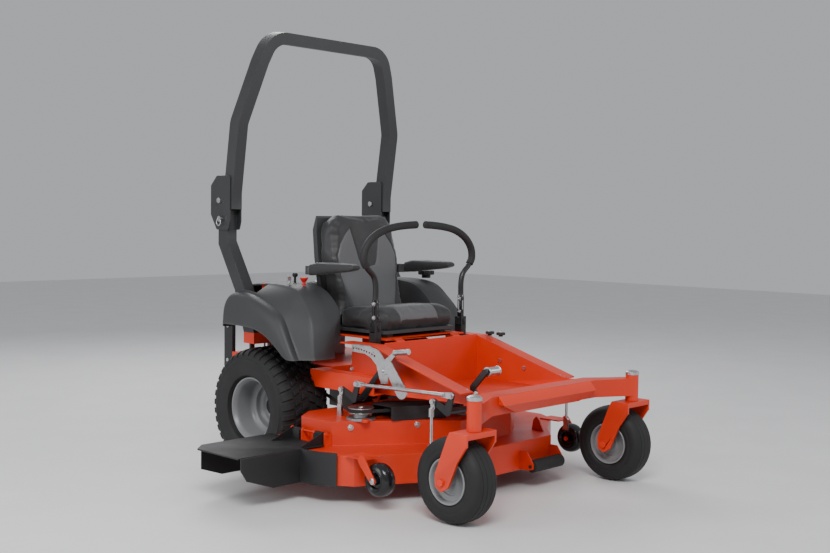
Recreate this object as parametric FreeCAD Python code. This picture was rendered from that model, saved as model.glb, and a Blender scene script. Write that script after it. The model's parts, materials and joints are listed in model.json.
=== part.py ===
import FreeCAD, Part
import math
import os

V = FreeCAD.Vector

# Zero turn mower. Millimetres, +Z up, the front faces -Y and +X is the operator's left.
# Everything is placed from the machine's middle plane (x = 0) and the caster swivel line
# (y = 0) on the ground (z = 0), and is moved once, at the end, so that the origin is the
# middle of the footprint.

# ---- driving dimensions ----
WHEELBASE = 1311.0
CASTER_TRAIL = 83.0
CASTER_X = 529.0
CASTER_TYRE_R = 165.0
CASTER_TYRE_W = 127.0
CASTER_RIM_R = 90.0
STEM_R = 16.0
BARREL_R = 28.5
BARREL_LOW = 360.0
BARREL_TOP = 475.0
REAR_TYRE_R = 277.0
REAR_TYRE_W = 270.0
REAR_WHEEL_X = 430.0
REAR_RIM_R = 145.0
BEAM_Y = (65.0, 150.0)
BEAM_Z = (385.0, 460.0)
RAIL_X = 302.0
RAIL_T = 6.0
RAIL_FLANGE = 76.0
RAIL_TOP = 605.0
RAIL_END_Y = 900.0
LOW_RAIL_Z = (392.0, 468.0)
SEAT_PANEL_Y = 700.0
SHEET_T = 4.0
GUARD_REAR_Y = 1855.0
ENGINE_Y = 1500.0
HOOP_X = 487.0
HOOP_W = 55.0
HOOP_D = 65.0
HOOP_TOP = 2000.0
HOOP_LEAN = 8.0
FOLD_Y = 1575.0
FOLD_Z = 1215.0
FENDER_TOP = 850.0
FENDER_OUT = 575.0
FENDER_IN = 290.0
FENDER_T = 5.0
SEAT_Z = 650.0
SEAT_HALF = 250.0
LEVER_X = 279.0
LEVER_Y = 785.0
LEVER_R = 12.5
DECK_HALF = 705.0
DECK_LOW = 78.0
DECK_STEP = 200.0
DECK_TOP = 300.0
DECK_T = 4.0
BLADE_R = 232.0
SPINDLES = ((-440.0, 700.0), (0.0, 505.0), (440.0, 700.0))
PULLEY_R = 56.0
BELT_T = 9.0
BELT_Z = (334.0, 347.0)
CHUTE_HINGE_X = -600.0
CHUTE_OUT_X = -1040.0
CHUTE_Y = (735.0, 1075.0)
FRONT_LIFT = (220.0, 392.0)
REAR_LIFT = (750.0, 380.0)
SHAFT_R = 12.0

# ---- named clearances ----
RUN = 0.05
GAP = 0.5
SOFT_GAP = 0.3

REAR_AXLE_Y = CASTER_TRAIL + WHEELBASE
FRONT_Y = CASTER_TRAIL - CASTER_TYRE_R
SHIFT = V(-(DECK_HALF + CHUTE_OUT_X) / 2, -(FRONT_Y + GUARD_REAR_Y) / 2, 0)


# ---- geometry helpers ----
def box(x, y, z):
    """A box from its (low, high) spans."""
    size = [span[1] - span[0] for span in (x, y, z)]
    return Part.makeBox(size[0], size[1], size[2], V(x[0], y[0], z[0]))


def rod(start, end, radius):
    """A round bar between two points."""
    start = V(*start)
    along = V(*end) - start
    return Part.makeCylinder(radius, along.Length, start, along)


def corner(before, point, after, radius):
    """The tangent arc that rounds one corner, as (start, middle, end)."""
    back = (before - point).normalize()
    ahead = (after - point).normalize()
    half = back.getAngle(ahead) / 2
    reach = radius / math.tan(half)
    centre = point + (back + ahead).normalize() * (radius / math.sin(half))
    middle = centre + (point - centre).normalize() * radius
    return point + back * reach, middle, point + ahead * reach


def path(points, radius, closed=False):
    """A wire of straight runs and tangent arcs."""
    count = len(points)
    edges = []
    last = None
    first = None
    for i, point in enumerate(points):
        if closed or 0 < i < count - 1:
            arc = corner(points[i - 1], point, points[(i + 1) % count], radius)
            if last is not None:
                edges.append(Part.makeLine(last, arc[0]))
            if radius > 0:
                edges.append(Part.Arc(*arc).toShape())
            last = arc[2]
            first = first or arc[0]
        else:
            if last is not None:
                edges.append(Part.makeLine(last, point))
            last = point
    if closed:
        edges.append(Part.makeLine(last, first))
    return Part.Wire(edges)


def outline(points, radius):
    """A closed flat face, with its corners rounded where radius is over zero."""
    if radius > 0:
        return Part.Face(path(points, radius, closed=True))
    return Part.Face(Part.makePolygon(points + [points[0]]))


def prism_yz(points, x, radius=0.0):
    """A plate whose outline is in Y and Z, between two X values."""
    face = outline([V(x[0], y, z) for y, z in points], radius)
    return face.extrude(V(x[1] - x[0], 0, 0))


def prism_xz(points, y, radius=0.0):
    """A plate whose outline is in X and Z, between two Y values."""
    face = outline([V(x, y[0], z) for x, z in points], radius)
    return face.extrude(V(0, y[1] - y[0], 0))


def prism_xy(points, z, radius=0.0):
    """A plate whose outline is in X and Y, between two Z values."""
    face = outline([V(x, y, z[0]) for x, y in points], radius)
    return face.extrude(V(0, 0, z[1] - z[0]))


def sweep(points, bend, section):
    """A section, a flat face across the first run, swept along bends."""
    solids = [Part.Wire(path(points, bend)).makePipeShell([wire], True, False) for wire in section.Wires]
    return solids[0].cut(solids[1]) if len(solids) > 1 else solids[0]


def round_bar(points, bend, radius):
    """A round bar or tube along a bent path."""
    disc = Part.makeCircle(radius, points[0], points[1] - points[0])
    return sweep(points, bend, Part.Face(Part.Wire(disc)))


def spin_x(profile, y, z):
    """A ring or wheel: a profile of (x, radius) turned about a line along X."""
    face = Part.Face(Part.makePolygon([V(x, y, z + r) for x, r in profile + profile[:1]]))
    return face.revolve(V(0, y, z), V(1, 0, 0), 360)


def join(shapes):
    """One solid from overlapping or touching shapes."""
    whole = shapes[0].multiFuse(shapes[1:])
    return whole.removeSplitter()


def group(shapes):
    """Separate solids kept in one node."""
    solids = [solid for shape in shapes for solid in shape.Solids]
    return Part.makeCompound(solids)


def mirror(shape):
    """The same piece on the other side of the machine."""
    return shape.mirror(V(0, 0, 0), V(1, 0, 0))


def both(shape):
    """A piece and its mirror image, overlapping or not."""
    return [shape, mirror(shape)]


def link(start, end, radii, span):
    """A flat link across X: two round ends joined by straight sides."""
    along = V(span[1] - span[0], 0, 0)
    ends = [Part.Face(Part.Wire(Part.makeCircle(r, V(span[0], *c), along))).extrude(along)
            for c, r in zip((start, end), radii)]
    run = (end[0] - start[0], end[1] - start[1])
    length = math.hypot(*run)
    turn = math.acos((radii[0] - radii[1]) / length)
    heading = math.atan2(run[1], run[0])
    sides = []
    for centre, r in zip((start, end), radii):
        for sign in (1, -1):
            angle = heading + sign * turn
            sides.append(V(span[0], centre[0] + r * math.cos(angle), centre[1] + r * math.sin(angle)))
    middle = outline([sides[0], sides[2], sides[3], sides[1]], 0).extrude(along)
    return join([middle] + ends)


def bolt(point, axis, radius, head=6.0):
    """A hexagon bolt head standing on a face at the point."""
    axis = V(*axis)
    start = V(*point)
    across = V(0, 0, 1) if abs(axis.z) < 0.5 else V(0, 1, 0)
    arms = [FreeCAD.Rotation(axis, 60.0 * i).multVec(across) * radius for i in range(6)]
    return outline([start + arm for arm in arms], 0).extrude(axis * head)


# ---- frame ----
SIDE_PLATE = ((150, 405), (307, 405), (690, 391), (RAIL_END_Y, 391), (RAIL_END_Y, RAIL_TOP),
              (SEAT_PANEL_Y, RAIL_TOP), (200, BEAM_Z[1]), (150, BEAM_Z[1]))
RAIL_OUT = RAIL_X + RAIL_FLANGE
CROSS_Y = (1040.0, 1095.0)
INNER_RAIL = (232.0, 282.0)
ROPS_BEAM_Y = (1325.0, 1400.0)
ROPS_BEAM_Z = (568.0, 618.0)
YOKE_PIVOT_Z = 575.0
YOKE_PIN_R = 8.0
LUG_R = 26.0


def side_rail():
    """Right side plate with its top flange, lift-shaft lugs and lower rail."""
    x = (RAIL_X, RAIL_X + RAIL_T)
    plate = prism_yz(SIDE_PLATE, x)
    edge = [(200, BEAM_Z[1]), (SEAT_PANEL_Y, RAIL_TOP), (RAIL_END_Y, RAIL_TOP)]
    low = [(y, z - RAIL_T) for y, z in reversed(edge)]
    flange = prism_yz(edge + low, (RAIL_X, RAIL_OUT))
    lugs = [link(centre, (centre[0], centre[1] + 40), (LUG_R, LUG_R), x) for centre in (FRONT_LIFT, REAR_LIFT)]
    tube = box((RAIL_X + RAIL_T, RAIL_OUT), (690, CROSS_Y[1]), LOW_RAIL_Z)
    hollow = box((RAIL_X + RAIL_T + 5, RAIL_OUT - 5), (680, CROSS_Y[0]), (LOW_RAIL_Z[0] + 5, LOW_RAIL_Z[1] - 5))
    rail = join([plate, flange] + lugs + [tube.cut(hollow)])
    for y, z in (FRONT_LIFT, REAR_LIFT):
        rail = rail.cut(rod((RAIL_X - 20, y, z), (RAIL_OUT + 20, y, z), SHAFT_R + RUN))
    pivot = rod((RAIL_X - 20, LEVER_Y, YOKE_PIVOT_Z), (RAIL_X + 20, LEVER_Y, YOKE_PIVOT_Z), YOKE_PIN_R + RUN)
    return mirror(rail.cut(pivot))


def main_frame():
    right = side_rail()
    inner = box(INNER_RAIL, (CROSS_Y[0], GUARD_REAR_Y - 65), LOW_RAIL_Z)
    inner = inner.cut(box((INNER_RAIL[0] + 5, INNER_RAIL[1] - 5), (CROSS_Y[1], 1740), (LOW_RAIL_Z[0] + 5,
                                                                                       LOW_RAIL_Z[1] - 5)))
    post = box(INNER_RAIL, ROPS_BEAM_Y, (LOW_RAIL_Z[1], ROPS_BEAM_Z[0]))
    strut = box((405, 435), (1340, 1370), (ROPS_BEAM_Z[1], FENDER_TOP - FENDER_T - 2))
    cross = box((-RAIL_OUT, RAIL_OUT), CROSS_Y, LOW_RAIL_Z)
    rear = box((-INNER_RAIL[1], INNER_RAIL[1]), (1745, GUARD_REAR_Y - 65), LOW_RAIL_Z)
    beam = box((-515, 515), ROPS_BEAM_Y, ROPS_BEAM_Z).cut(
        box((-505, 505), (ROPS_BEAM_Y[0] + 5, ROPS_BEAM_Y[1] - 5), (ROPS_BEAM_Z[0] - 5, ROPS_BEAM_Z[1] - 5)))
    deck = box((-INNER_RAIL[1], INNER_RAIL[1]), (CROSS_Y[0], GUARD_REAR_Y - 65), (LOW_RAIL_Z[1], LOW_RAIL_Z[1] + 6))
    deck = deck.cut(rod((0, ENGINE_Y, 460), (0, ENGINE_Y, 480), 45))
    sides = [right, mirror(right), inner, mirror(inner), post, mirror(post), strut, mirror(strut)]
    return join(sides + [cross, rear, beam, deck])


def front_axle():
    """Formed beam with swept arms that carry the caster barrels."""
    arm = prism_xy([(300, BEAM_Y[0]), (345, BEAM_Y[0]), (512, -22), (548, 16), (372, BEAM_Y[1]), (300, BEAM_Y[1])],
                   BEAM_Z)
    barrel = rod((CASTER_X, 0, BARREL_LOW), (CASTER_X, 0, BARREL_TOP), BARREL_R)
    centre = box((-330, 330), BEAM_Y, BEAM_Z)
    hollow = box((-320, 320), (BEAM_Y[0] + RAIL_T, BEAM_Y[1] - RAIL_T), (BEAM_Z[0] - 1, BEAM_Z[1] - RAIL_T))
    beam = join([centre] + both(arm) + both(barrel)).cut(hollow)
    bore = rod((CASTER_X, 0, BARREL_LOW - 1), (CASTER_X, 0, BARREL_TOP + 1), STEM_R + RUN)
    return beam.cut(bore).cut(mirror(bore))


def bumper_plate():
    """Folded plate on the beam's face: an upper face leaning forward and a lower face leaning back."""
    front = BEAM_Y[0]
    fold = prism_yz([(front, 460), (front - 31, 424), (front - 12, BEAM_Z[0]), (front, BEAM_Z[0])], (-309, 309))
    side = prism_xz([(309, 380), (309, 424), (200, 380)], (front - 40, front))
    return fold.cut(side).cut(mirror(side))


def floor_pan():
    """Sheet floor between the rails, with a slot for the lift pedal arm."""
    top = [(BEAM_Y[1], 440), (300, 411), (SEAT_PANEL_Y, 411)]
    low = [(y, z - SHEET_T) for y, z in reversed(top)]
    pan = prism_yz(top + low, (-RAIL_X, RAIL_X))
    return pan.cut(box((-285, -235), (BEAM_Y[1] + 6, 300), (390, 450)))


PLATFORM_Z = (612.0, 620.0)
PLATFORM_HINGE = (722.0, 600.0)
HINGE_PIN_R = 5.0
KNUCKLE_X = (160.0, 204.0)


def footwell():
    """Floor and upright front sheet under the seat, with the seat hinge ears on its top edge."""
    sheet = box((-RAIL_X, RAIL_X), (SEAT_PANEL_Y, SEAT_PANEL_Y + SHEET_T), (407, 611))
    y, z = PLATFORM_HINGE
    ears = []
    for x in (KNUCKLE_X[0] - 8, KNUCKLE_X[1] + 2):
        ear = link((y, z), (SEAT_PANEL_Y + SHEET_T + 1, z - 20), (9, 1.5), (x, x + 6))
        tab = box((x, x + 6), (SEAT_PANEL_Y, y), (z - 22, z - 2))
        ears += both(join([ear, tab]))
    panel = join([sheet, floor_pan()] + ears)
    return panel.cut(rod((-230, y, z), (230, y, z), HINGE_PIN_R + RUN))


HITCH_R = 8.0
HITCH_T = 10.0


def rear_guard():
    """Engine guard with a cross tube and the hitch plate."""
    start = GUARD_REAR_Y - 65
    arms = [(282, 262), (-262, -282)]
    parts = [box(sorted(x), (start, GUARD_REAR_Y), (396, 660)) for x in arms]
    parts.append(box((-282, 282), (GUARD_REAR_Y - 30, GUARD_REAR_Y), (612, 660)))
    parts.append(box((-282, 282), (start, GUARD_REAR_Y), (396, 396 + HITCH_T)))
    for x in (-120, 0, 120):
        parts.append(box((x - 12, x + 12), (GUARD_REAR_Y - 22, GUARD_REAR_Y - 8), (406, 612)))
    guard = join(parts)
    return guard.cut(rod((0, GUARD_REAR_Y - 30, 390), (0, GUARD_REAR_Y - 30, 406.0), HITCH_R))


# ---- roll-over bar ----
PLATE_T = 6.0
PIN_R = 8.0
LOCK_PIN = (1562.0, 1130.0)
UPRIGHT_TOP = 1170.0
HOOP_FOOT = 1175.0
HOOP_FRONT = 1490.0


def rops_uprights():
    """Fixed lower legs with the hinge plates at their tops."""
    x = (HOOP_X - HOOP_W / 2 - GAP, HOOP_X + HOOP_W / 2 + GAP)
    front = [(ROPS_BEAM_Y[0], ROPS_BEAM_Z[1]), (1400, 820), (1528, 1030), (1528, UPRIGHT_TOP)]
    rear = [(1528 + HOOP_D, UPRIGHT_TOP), (1528 + HOOP_D, 1012), (1468, 806), (ROPS_BEAM_Y[1], ROPS_BEAM_Z[1])]
    leg = prism_yz(front + rear, x)
    core = outline([V(x[0] + 5, y, z) for y, z in front + rear], 0).makeOffset2D(-5.0)
    hollow = core.extrude(V(HOOP_W + 2 * GAP - 10, 0, 0))
    leg = leg.cut(hollow)
    shape = [(1512, 1080), (1600, 1080), (1645, 1150), (1645, 1285), (1600, 1330), (1500, 1330), (1500, 1120)]
    plates = [prism_yz(shape, span, 12) for span in ((x[0] - PLATE_T, x[0]), (x[1], x[1] + PLATE_T))]
    side = join([leg] + plates)
    for y, z in ((FOLD_Y, FOLD_Z), LOCK_PIN):
        side = side.cut(rod((HOOP_X - 60, y, z), (HOOP_X + 60, y, z), PIN_R + RUN))
    return group(both(side))


def rops_hoop():
    """Folding upper hoop: one bent rectangular tube and its two hinge lugs."""
    lean = math.radians(HOOP_LEAN)
    base = 1250.0
    centre_y = HOOP_FRONT + HOOP_D / 2

    def on_plane(x, rise):
        return V(x, centre_y - rise * math.sin(lean), base + rise * math.cos(lean))

    top = (HOOP_TOP - base - HOOP_W / 2) / math.cos(lean)
    half = [on_plane(HOOP_X, 0), on_plane(HOOP_X, 325), on_plane(400, 610), on_plane(350, top)]
    points = half + [V(-p.x, p.y, p.z) for p in reversed(half)]
    side = V(1, 0, 0)
    depth = V(0, math.cos(lean), math.sin(lean))

    def section(inset):
        a = side * (HOOP_W / 2 - inset)
        b = depth * (HOOP_D / 2 - inset)
        loop = [points[0] + a + b, points[0] - a + b, points[0] - a - b, points[0] + a - b]
        return Part.Wire(Part.makePolygon(loop + loop[:1]))

    wire = path(points, 110.0)
    outer = wire.makePipeShell([section(0)], True, False)
    inner = wire.makePipeShell([section(4)], True, False)
    x = (HOOP_X - HOOP_W / 2, HOOP_X + HOOP_W / 2)
    y = (HOOP_FRONT, HOOP_FRONT + HOOP_D)
    foot = box(x, y, (HOOP_FOOT, base + 12)).cut(box((x[0] + 4, x[1] - 4), (y[0] + 4, y[1] - 4), (HOOP_FOOT - 1,
                                                                                              base + 20)))
    lug = link((FOLD_Y, FOLD_Z), (y[1] - 4, FOLD_Z), (20, 20), (x[0] + 6, x[1] - 6))
    lug = lug.cut(box(x, (y[0], y[1] - 4), (FOLD_Z - 30, FOLD_Z + 30)))
    legs = [outer.cut(inner)] + both(foot) + both(lug)
    hoop = join(legs)
    bore = rod((HOOP_X - 60, FOLD_Y, FOLD_Z), (HOOP_X + 60, FOLD_Y, FOLD_Z), PIN_R + RUN)
    return hoop.cut(bore).cut(mirror(bore))


def lock_pin():
    """Right lock pin with its ring head, pulled out sideways before the hoop is folded."""
    y, z = LOCK_PIN
    pin = rod((-HOOP_X + 45, y, z), (-HOOP_X - 44, y, z), PIN_R)
    head = rod((-HOOP_X - 44, y, z), (-HOOP_X - 50, y, z), 13)
    ring = Part.makeTorus(15, 2.5, V(-HOOP_X - 51, y, z - 15), V(1, 0, 0))
    return join([pin, head, ring])


# ---- bodywork ----
def fender_body(inset):
    """The fender's outer volume, or the same volume set in by the wall."""
    arch_r = 393.0 + inset
    side = [(914 + inset, 545), (925 + inset, 680), (1008 + inset, 785),
            (1096 + inset, FENDER_TOP - 8 - inset), (1400, FENDER_TOP - inset),
            (1452 - inset, 815 - inset), (1478 - inset, 640)]
    body = prism_yz([(side[0][0], 520)] + side + [(1478 - inset, 520)], (-FENDER_OUT + inset, -FENDER_IN - inset))
    arch = rod((-700, REAR_AXLE_Y, REAR_TYRE_R), (0, REAR_AXLE_Y, REAR_TYRE_R), arch_r)
    floor = box((-700, 0), (700, 1600), (400, 545 if inset == 0 else 500))
    across = [(-FENDER_OUT + inset, 500), (-FENDER_OUT + inset, 735), (-545 + inset, FENDER_TOP - 28 - inset),
              (-500, FENDER_TOP - inset), (-FENDER_IN - inset, FENDER_TOP - inset),
              (-FENDER_IN - inset, 700), (-RAIL_OUT - 4 - inset, 680), (-RAIL_OUT - 4 - inset, 500)]
    body = body.cut(floor).cut(arch)
    return body.common(prism_xz(across, (700, 1600)))


def fender():
    """Right fender: a moulded shell, open below, notched for the roll-over leg."""
    inner = fender_body(FENDER_T)
    lower = inner.copy()
    lower.translate(V(0, 0, -2 * FENDER_T))
    shell = fender_body(0).cut(inner).cut(lower)
    notch = box((-HOOP_X - 33, -HOOP_X + 33), (1300, 1500), (500, FENDER_TOP + 10))
    shell = shell.cut(notch)
    return max(shell.Solids, key=lambda solid: solid.Volume)


CONSOLE_Z = FENDER_TOP
PTO_XY = (-385.0, 1135.0)
KEY_XY = (-420.0, 1195.0)
THROTTLE_XY = (-352.0, 1235.0)
FUEL_CAP_XY = (430.0, 1150.0)


def right_fender():
    """Right fender with bores for the console's controls."""
    shell = fender()
    boss = rod((*PTO_XY, CONSOLE_Z - 20), (*PTO_XY, CONSOLE_Z + 3), 16)
    key = rod((*KEY_XY, CONSOLE_Z - 20), (*KEY_XY, CONSOLE_Z + 3), 14)
    x, y = THROTTLE_XY
    guide = box((x - 12, x + 12), (y - 40, y + 40), (CONSOLE_Z - 30, CONSOLE_Z + 3))
    slot = box((x - 4, x + 4), (y - 34, y + 34), (CONSOLE_Z - 31, CONSOLE_Z + 4))
    shell = join([shell, boss, key, guide])
    shell = shell.cut(rod((*PTO_XY, CONSOLE_Z - 50), (*PTO_XY, CONSOLE_Z + 10), 7 + RUN))
    shell = shell.cut(rod((*KEY_XY, CONSOLE_Z - 50), (*KEY_XY, CONSOLE_Z + 10), 6 + RUN))
    return shell.cut(slot)


def left_fender():
    """Left fender, which holds the fuel, with its filler neck."""
    x, y = FUEL_CAP_XY
    neck = rod((x, y, CONSOLE_Z - 20), (x, y, CONSOLE_Z + 14), 28)
    shell = join([mirror(fender()), neck])
    return shell.cut(rod((x, y, CONSOLE_Z - 30), (x, y, CONSOLE_Z + 20), 22))


def fuel_cap():
    x, y = FUEL_CAP_XY
    plug = rod((x, y, CONSOLE_Z - 2), (x, y, CONSOLE_Z + 16), 22 - RUN)
    lid = rod((x, y, CONSOLE_Z + 14 + SOFT_GAP), (x, y, CONSOLE_Z + 34), 38)
    ribs = [rod((x + 38 * math.cos(a), y + 38 * math.sin(a), CONSOLE_Z + 16),
                (x + 38 * math.cos(a), y + 38 * math.sin(a), CONSOLE_Z + 34), 3)
            for a in [math.radians(30 * i) for i in range(12)]]
    return join([plug, lid] + ribs)


def pto_knob():
    """Pull-up knob that engages the blades."""
    x, y = PTO_XY
    stem = rod((x, y, CONSOLE_Z - 30), (x, y, CONSOLE_Z + 6), 7)
    cone = Part.makeCone(10, 18, 14, V(x, y, CONSOLE_Z + 5))
    return join([stem, cone, rod((x, y, CONSOLE_Z + 19), (x, y, CONSOLE_Z + 25), 18)])


def ignition_key():
    x, y = KEY_XY
    barrel = rod((x, y, CONSOLE_Z - 30), (x, y, CONSOLE_Z + 8), 6)
    bow = box((x - 11, x + 11), (y - 2, y + 2), (CONSOLE_Z + 7, CONSOLE_Z + 28))
    return join([barrel, bow])


THROTTLE_PIVOT_Z = CONSOLE_Z - 25.0


def throttle_lever():
    x, y = THROTTLE_XY
    arm = link((y, THROTTLE_PIVOT_Z), (y, CONSOLE_Z + 25), (7, 5), (x - 2.5, x + 2.5))
    grip = rod((x - 9, y, CONSOLE_Z + 30), (x + 9, y, CONSOLE_Z + 30), 9)
    return join([arm, grip])


# ---- engine and drive ----
def engine():
    """Crankcase with two finned cylinders in a V and the oil filter."""
    case = box((-120, 120), (ENGINE_Y - 95, ENGINE_Y + 120), (474, 600))
    case = case.cut(rod((0, ENGINE_Y, 470), (0, ENGINE_Y, 560), 30))
    parts = [case]
    for side in (-1, 1):
        core = rod((side * 70, ENGINE_Y + 60, 560), (side * 205, ENGINE_Y + 175, 560), 38)
        parts.append(core)
        for i in range(6):
            t = (62 + 17 * i) / 177.0
            a = (side * (70 + 135 * t), ENGINE_Y + 60 + 115 * t, 560)
            b = (side * (70 + 135 * t + 5), ENGINE_Y + 60 + 115 * t + 4.3, 560)
            parts.append(rod(a, b, 62))
    parts.append(rod((-120, ENGINE_Y - 40, 530), (-185, ENGINE_Y - 40, 530), 36))
    return join(parts)


def engine_shroud():
    """Blower housing with its round intake, and the air cleaner behind it."""
    y = ENGINE_Y + 10
    body = rod((0, y, 622), (0, y, 740), 172)
    rim = rod((0, y, 740), (0, y, 760), 120)
    wings = box((-235, 235), (y + 40, y + 180), (640, 720))
    shell = join([body, rim, wings])
    hollow = rod((0, y, 622), (0, y, 734), 164)
    bowl = rod((0, y, 745), (0, y, 760), 108)
    intake = rod((0, y, 730), (0, y, 750), 100)
    shell = shell.cut(hollow).cut(bowl).cut(intake)
    feet = [rod((x, y + 60 * s, 600), (x, y + 60 * s, 640), 10) for x in (-100, 100) for s in (-1, 1)]
    cleaner = rod((-150, y + 110, 765), (150, y + 110, 765), 52)
    neck = box((-30, 30), (y + 90, y + 130), (734, 745))
    whole = join([shell, cleaner, neck])
    return group([whole] + feet)


def muffler():
    """Rear silencer with two inlet pipes from the cylinders."""
    y = GUARD_REAR_Y - 80
    z = 545.0
    can = rod((-150, y, z), (150, y, z), 42)
    outlet = rod((150, y, z), (185, y, z), 16)
    pipes = [rod((s * 40, y - 30, z), (s * 40, ENGINE_Y + 120, z), 12) for s in (-1, 1)]
    return join([can, outlet] + pipes)


def engine_pulley():
    """Vertical drive shaft with the belt pulley and the blade clutch."""
    low, high = BELT_Z
    shaft = rod((0, ENGINE_Y, low - 14), (0, ENGINE_Y, 556), 14)
    groove = rod((0, ENGINE_Y, low - 1), (0, ENGINE_Y, high + 1), PULLEY_R - 12)
    plates = [rod((0, ENGINE_Y, z), (0, ENGINE_Y, z + 5), PULLEY_R - 5) for z in (low - 6, high + 1)]
    clutch = rod((0, ENGINE_Y, high + 6), (0, ENGINE_Y, 410), 54)
    return join([shaft, groove, clutch] + plates)


HUB_R = 30.0
AXLE_R = 18.0


def transaxles():
    """Left and right hydrostatic drive units with their axle tubes."""
    y = REAR_AXLE_Y
    z = REAR_TYRE_R
    case = box((85, 225), (y - 85, y + 85), (z - 70, z + 40))
    tube = rod((225, y, z), (288, y, z), 34)
    fan = rod((155, y, z + 40), (155, y, z + 50), 55)
    mount = box((232, 282), (y - 40, y + 40), (z + 20, LOW_RAIL_Z[0]))
    unit = join([case, tube, fan, mount.cut(rod((220, y, z), (300, y, z), 34))])
    unit = unit.cut(rod((120, y, z), (300, y, z), AXLE_R + RUN))
    return group(both(unit))


# ---- wheels ----
def tyre(half, outer, bead, seat, wall, centre):
    """A hollow carcass, open between its beads; seat is the rim flange's (inner face, radius)."""
    x, y, z = centre
    face = seat[0] - GAP
    tall = outer - bead
    skin = [(face, bead), (face, seat[1] + 1), (half - 5, seat[1] + 5), (half, (outer + bead) / 2 + 4),
            (half - 3, outer - 0.28 * tall), (0.86 * half, outer - 0.10 * tall), (0.58 * half, outer)]
    inside = [(0.56 * half, outer - wall), (0.80 * half, outer - 0.10 * tall - wall),
              (half - 3 - wall, outer - 0.32 * tall), (half - wall, (outer + bead) / 2),
              (half - 5 - wall, seat[1] + 8 + wall / 2), (face - 1.5 * wall, bead + wall), (face - 1.5 * wall, bead)]
    profile = [(-a, r) for a, r in skin] + [(a, r) for a, r in reversed(skin)]
    profile += [(a, r) for a, r in reversed(inside)] + [(-a, r) for a, r in inside]
    return spin_x([(x + a, r) for a, r in profile], y, z)


CASTER_SEAT = 51.0
REAR_SEAT = 99.0


def caster_tyre():
    return tyre(CASTER_TYRE_W / 2, CASTER_TYRE_R, CASTER_RIM_R - 9, (CASTER_SEAT, CASTER_RIM_R), 8,
                (-CASTER_X, CASTER_TRAIL, CASTER_TYRE_R))


def caster_rim():
    """Stepped rim with a bearing hub for the axle bolt."""
    flange = CASTER_RIM_R
    seat = CASTER_SEAT
    profile = [(-57, flange), (-seat, flange), (-seat, flange - 9), (seat, flange - 9), (seat, flange), (57, flange),
               (57, flange - 8), (52, flange - 15), (40, flange - 17), (36, flange - 40), (30, flange - 42),
               (30, 24), (62, 24), (62, 9.5 + RUN), (-62, 9.5 + RUN), (-62, 24), (-30, 24),
               (-30, flange - 42), (-36, flange - 40), (-40, flange - 17), (-52, flange - 15), (-57, flange - 8)]
    return spin_x([(-CASTER_X + a, r) for a, r in profile], CASTER_TRAIL, CASTER_TYRE_R)


FORK_LEG = (76.0, 86.0)


def caster_fork():
    """Swivel fork: stem, crown and two raked legs, with the wheel's axle bolt."""
    x = -CASTER_X
    axle = (CASTER_TRAIL, CASTER_TYRE_R)
    parts = [rod((x, 0, BARREL_LOW - 10), (x, 0, BARREL_TOP - 1), STEM_R)]
    parts.append(box((x - FORK_LEG[1], x + FORK_LEG[1]), (-38, 46), (312, BARREL_LOW - GAP)))
    crown_low = prism_yz([(-60, 300), (60, 300), (60, 348), (-60, 336)], (x - FORK_LEG[0], x + FORK_LEG[0]))
    parts[1] = parts[1].cut(crown_low)
    leg = [(-38, BARREL_LOW - GAP), (46, BARREL_LOW - GAP), (58, 338), (axle[0] + 34, axle[1] + 26),
           (axle[0] + 30, axle[1] - 20), (axle[0], axle[1] - 36), (axle[0] - 34, axle[1] - 14), (6, 250), (-38, 316)]
    for span in ((x - FORK_LEG[1], x - FORK_LEG[0]), (x + FORK_LEG[0], x + FORK_LEG[1])):
        parts.append(prism_yz(leg, span))
    fork = join(parts)
    pin = rod((x - 94, *axle), (x + 94, *axle), 9.5)
    fork = fork.cut(pin)
    heads = [bolt((x + s * FORK_LEG[1], *axle), (s, 0, 0), 15, 9) for s in (-1, 1)]
    spacers = [rod((x + s * 62.3, *axle), (x + s * FORK_LEG[0], *axle), 14) for s in (-1, 1)]
    axle_bolt = join([rod((x - 94, *axle), (x + 94, *axle), 9.5)] + heads + spacers)
    return group([fork, axle_bolt])


def rear_tyre():
    return tyre(REAR_TYRE_W / 2, REAR_TYRE_R, REAR_RIM_R - 13, (REAR_SEAT, REAR_RIM_R), 11,
                (-REAR_WHEEL_X, REAR_AXLE_Y, REAR_TYRE_R))


def rear_rim():
    """Deep-dish rim, with the drive hub, its axle shaft and the wheel bolts."""
    r = REAR_RIM_R
    seat = REAR_SEAT
    profile = [(-108, r), (-seat, r), (-seat, r - 13), (seat, r - 13), (seat, r), (108, r), (108, r - 9), (98, r - 20),
               (-30, r - 24), (-36, 70), (-46, 62), (-46, HUB_R + 1), (-52, HUB_R + 1), (-52, 66), (-42, 76),
               (-48, r - 24), (-98, r - 20), (-108, r - 9)]
    rim = spin_x([(-REAR_WHEEL_X - a, rr) for a, rr in profile], REAR_AXLE_Y, REAR_TYRE_R)
    hub_x = -REAR_WHEEL_X + 52
    hub = rod((hub_x - 30, REAR_AXLE_Y, REAR_TYRE_R), (hub_x, REAR_AXLE_Y, REAR_TYRE_R), HUB_R)
    disc = rod((hub_x, REAR_AXLE_Y, REAR_TYRE_R), (hub_x + 12, REAR_AXLE_Y, REAR_TYRE_R), 60)
    shaft = rod((hub_x, REAR_AXLE_Y, REAR_TYRE_R), (-125, REAR_AXLE_Y, REAR_TYRE_R), AXLE_R)
    bolts = []
    for i in range(5):
        a = math.radians(72 * i + 18)
        y = REAR_AXLE_Y + 46 * math.cos(a)
        z = REAR_TYRE_R + 46 * math.sin(a)
        bolts.append(bolt((hub_x - 6, y, z), (-1, 0, 0), 11, 9))
    return group([rim, join([hub, disc, shaft])] + bolts)


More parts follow.
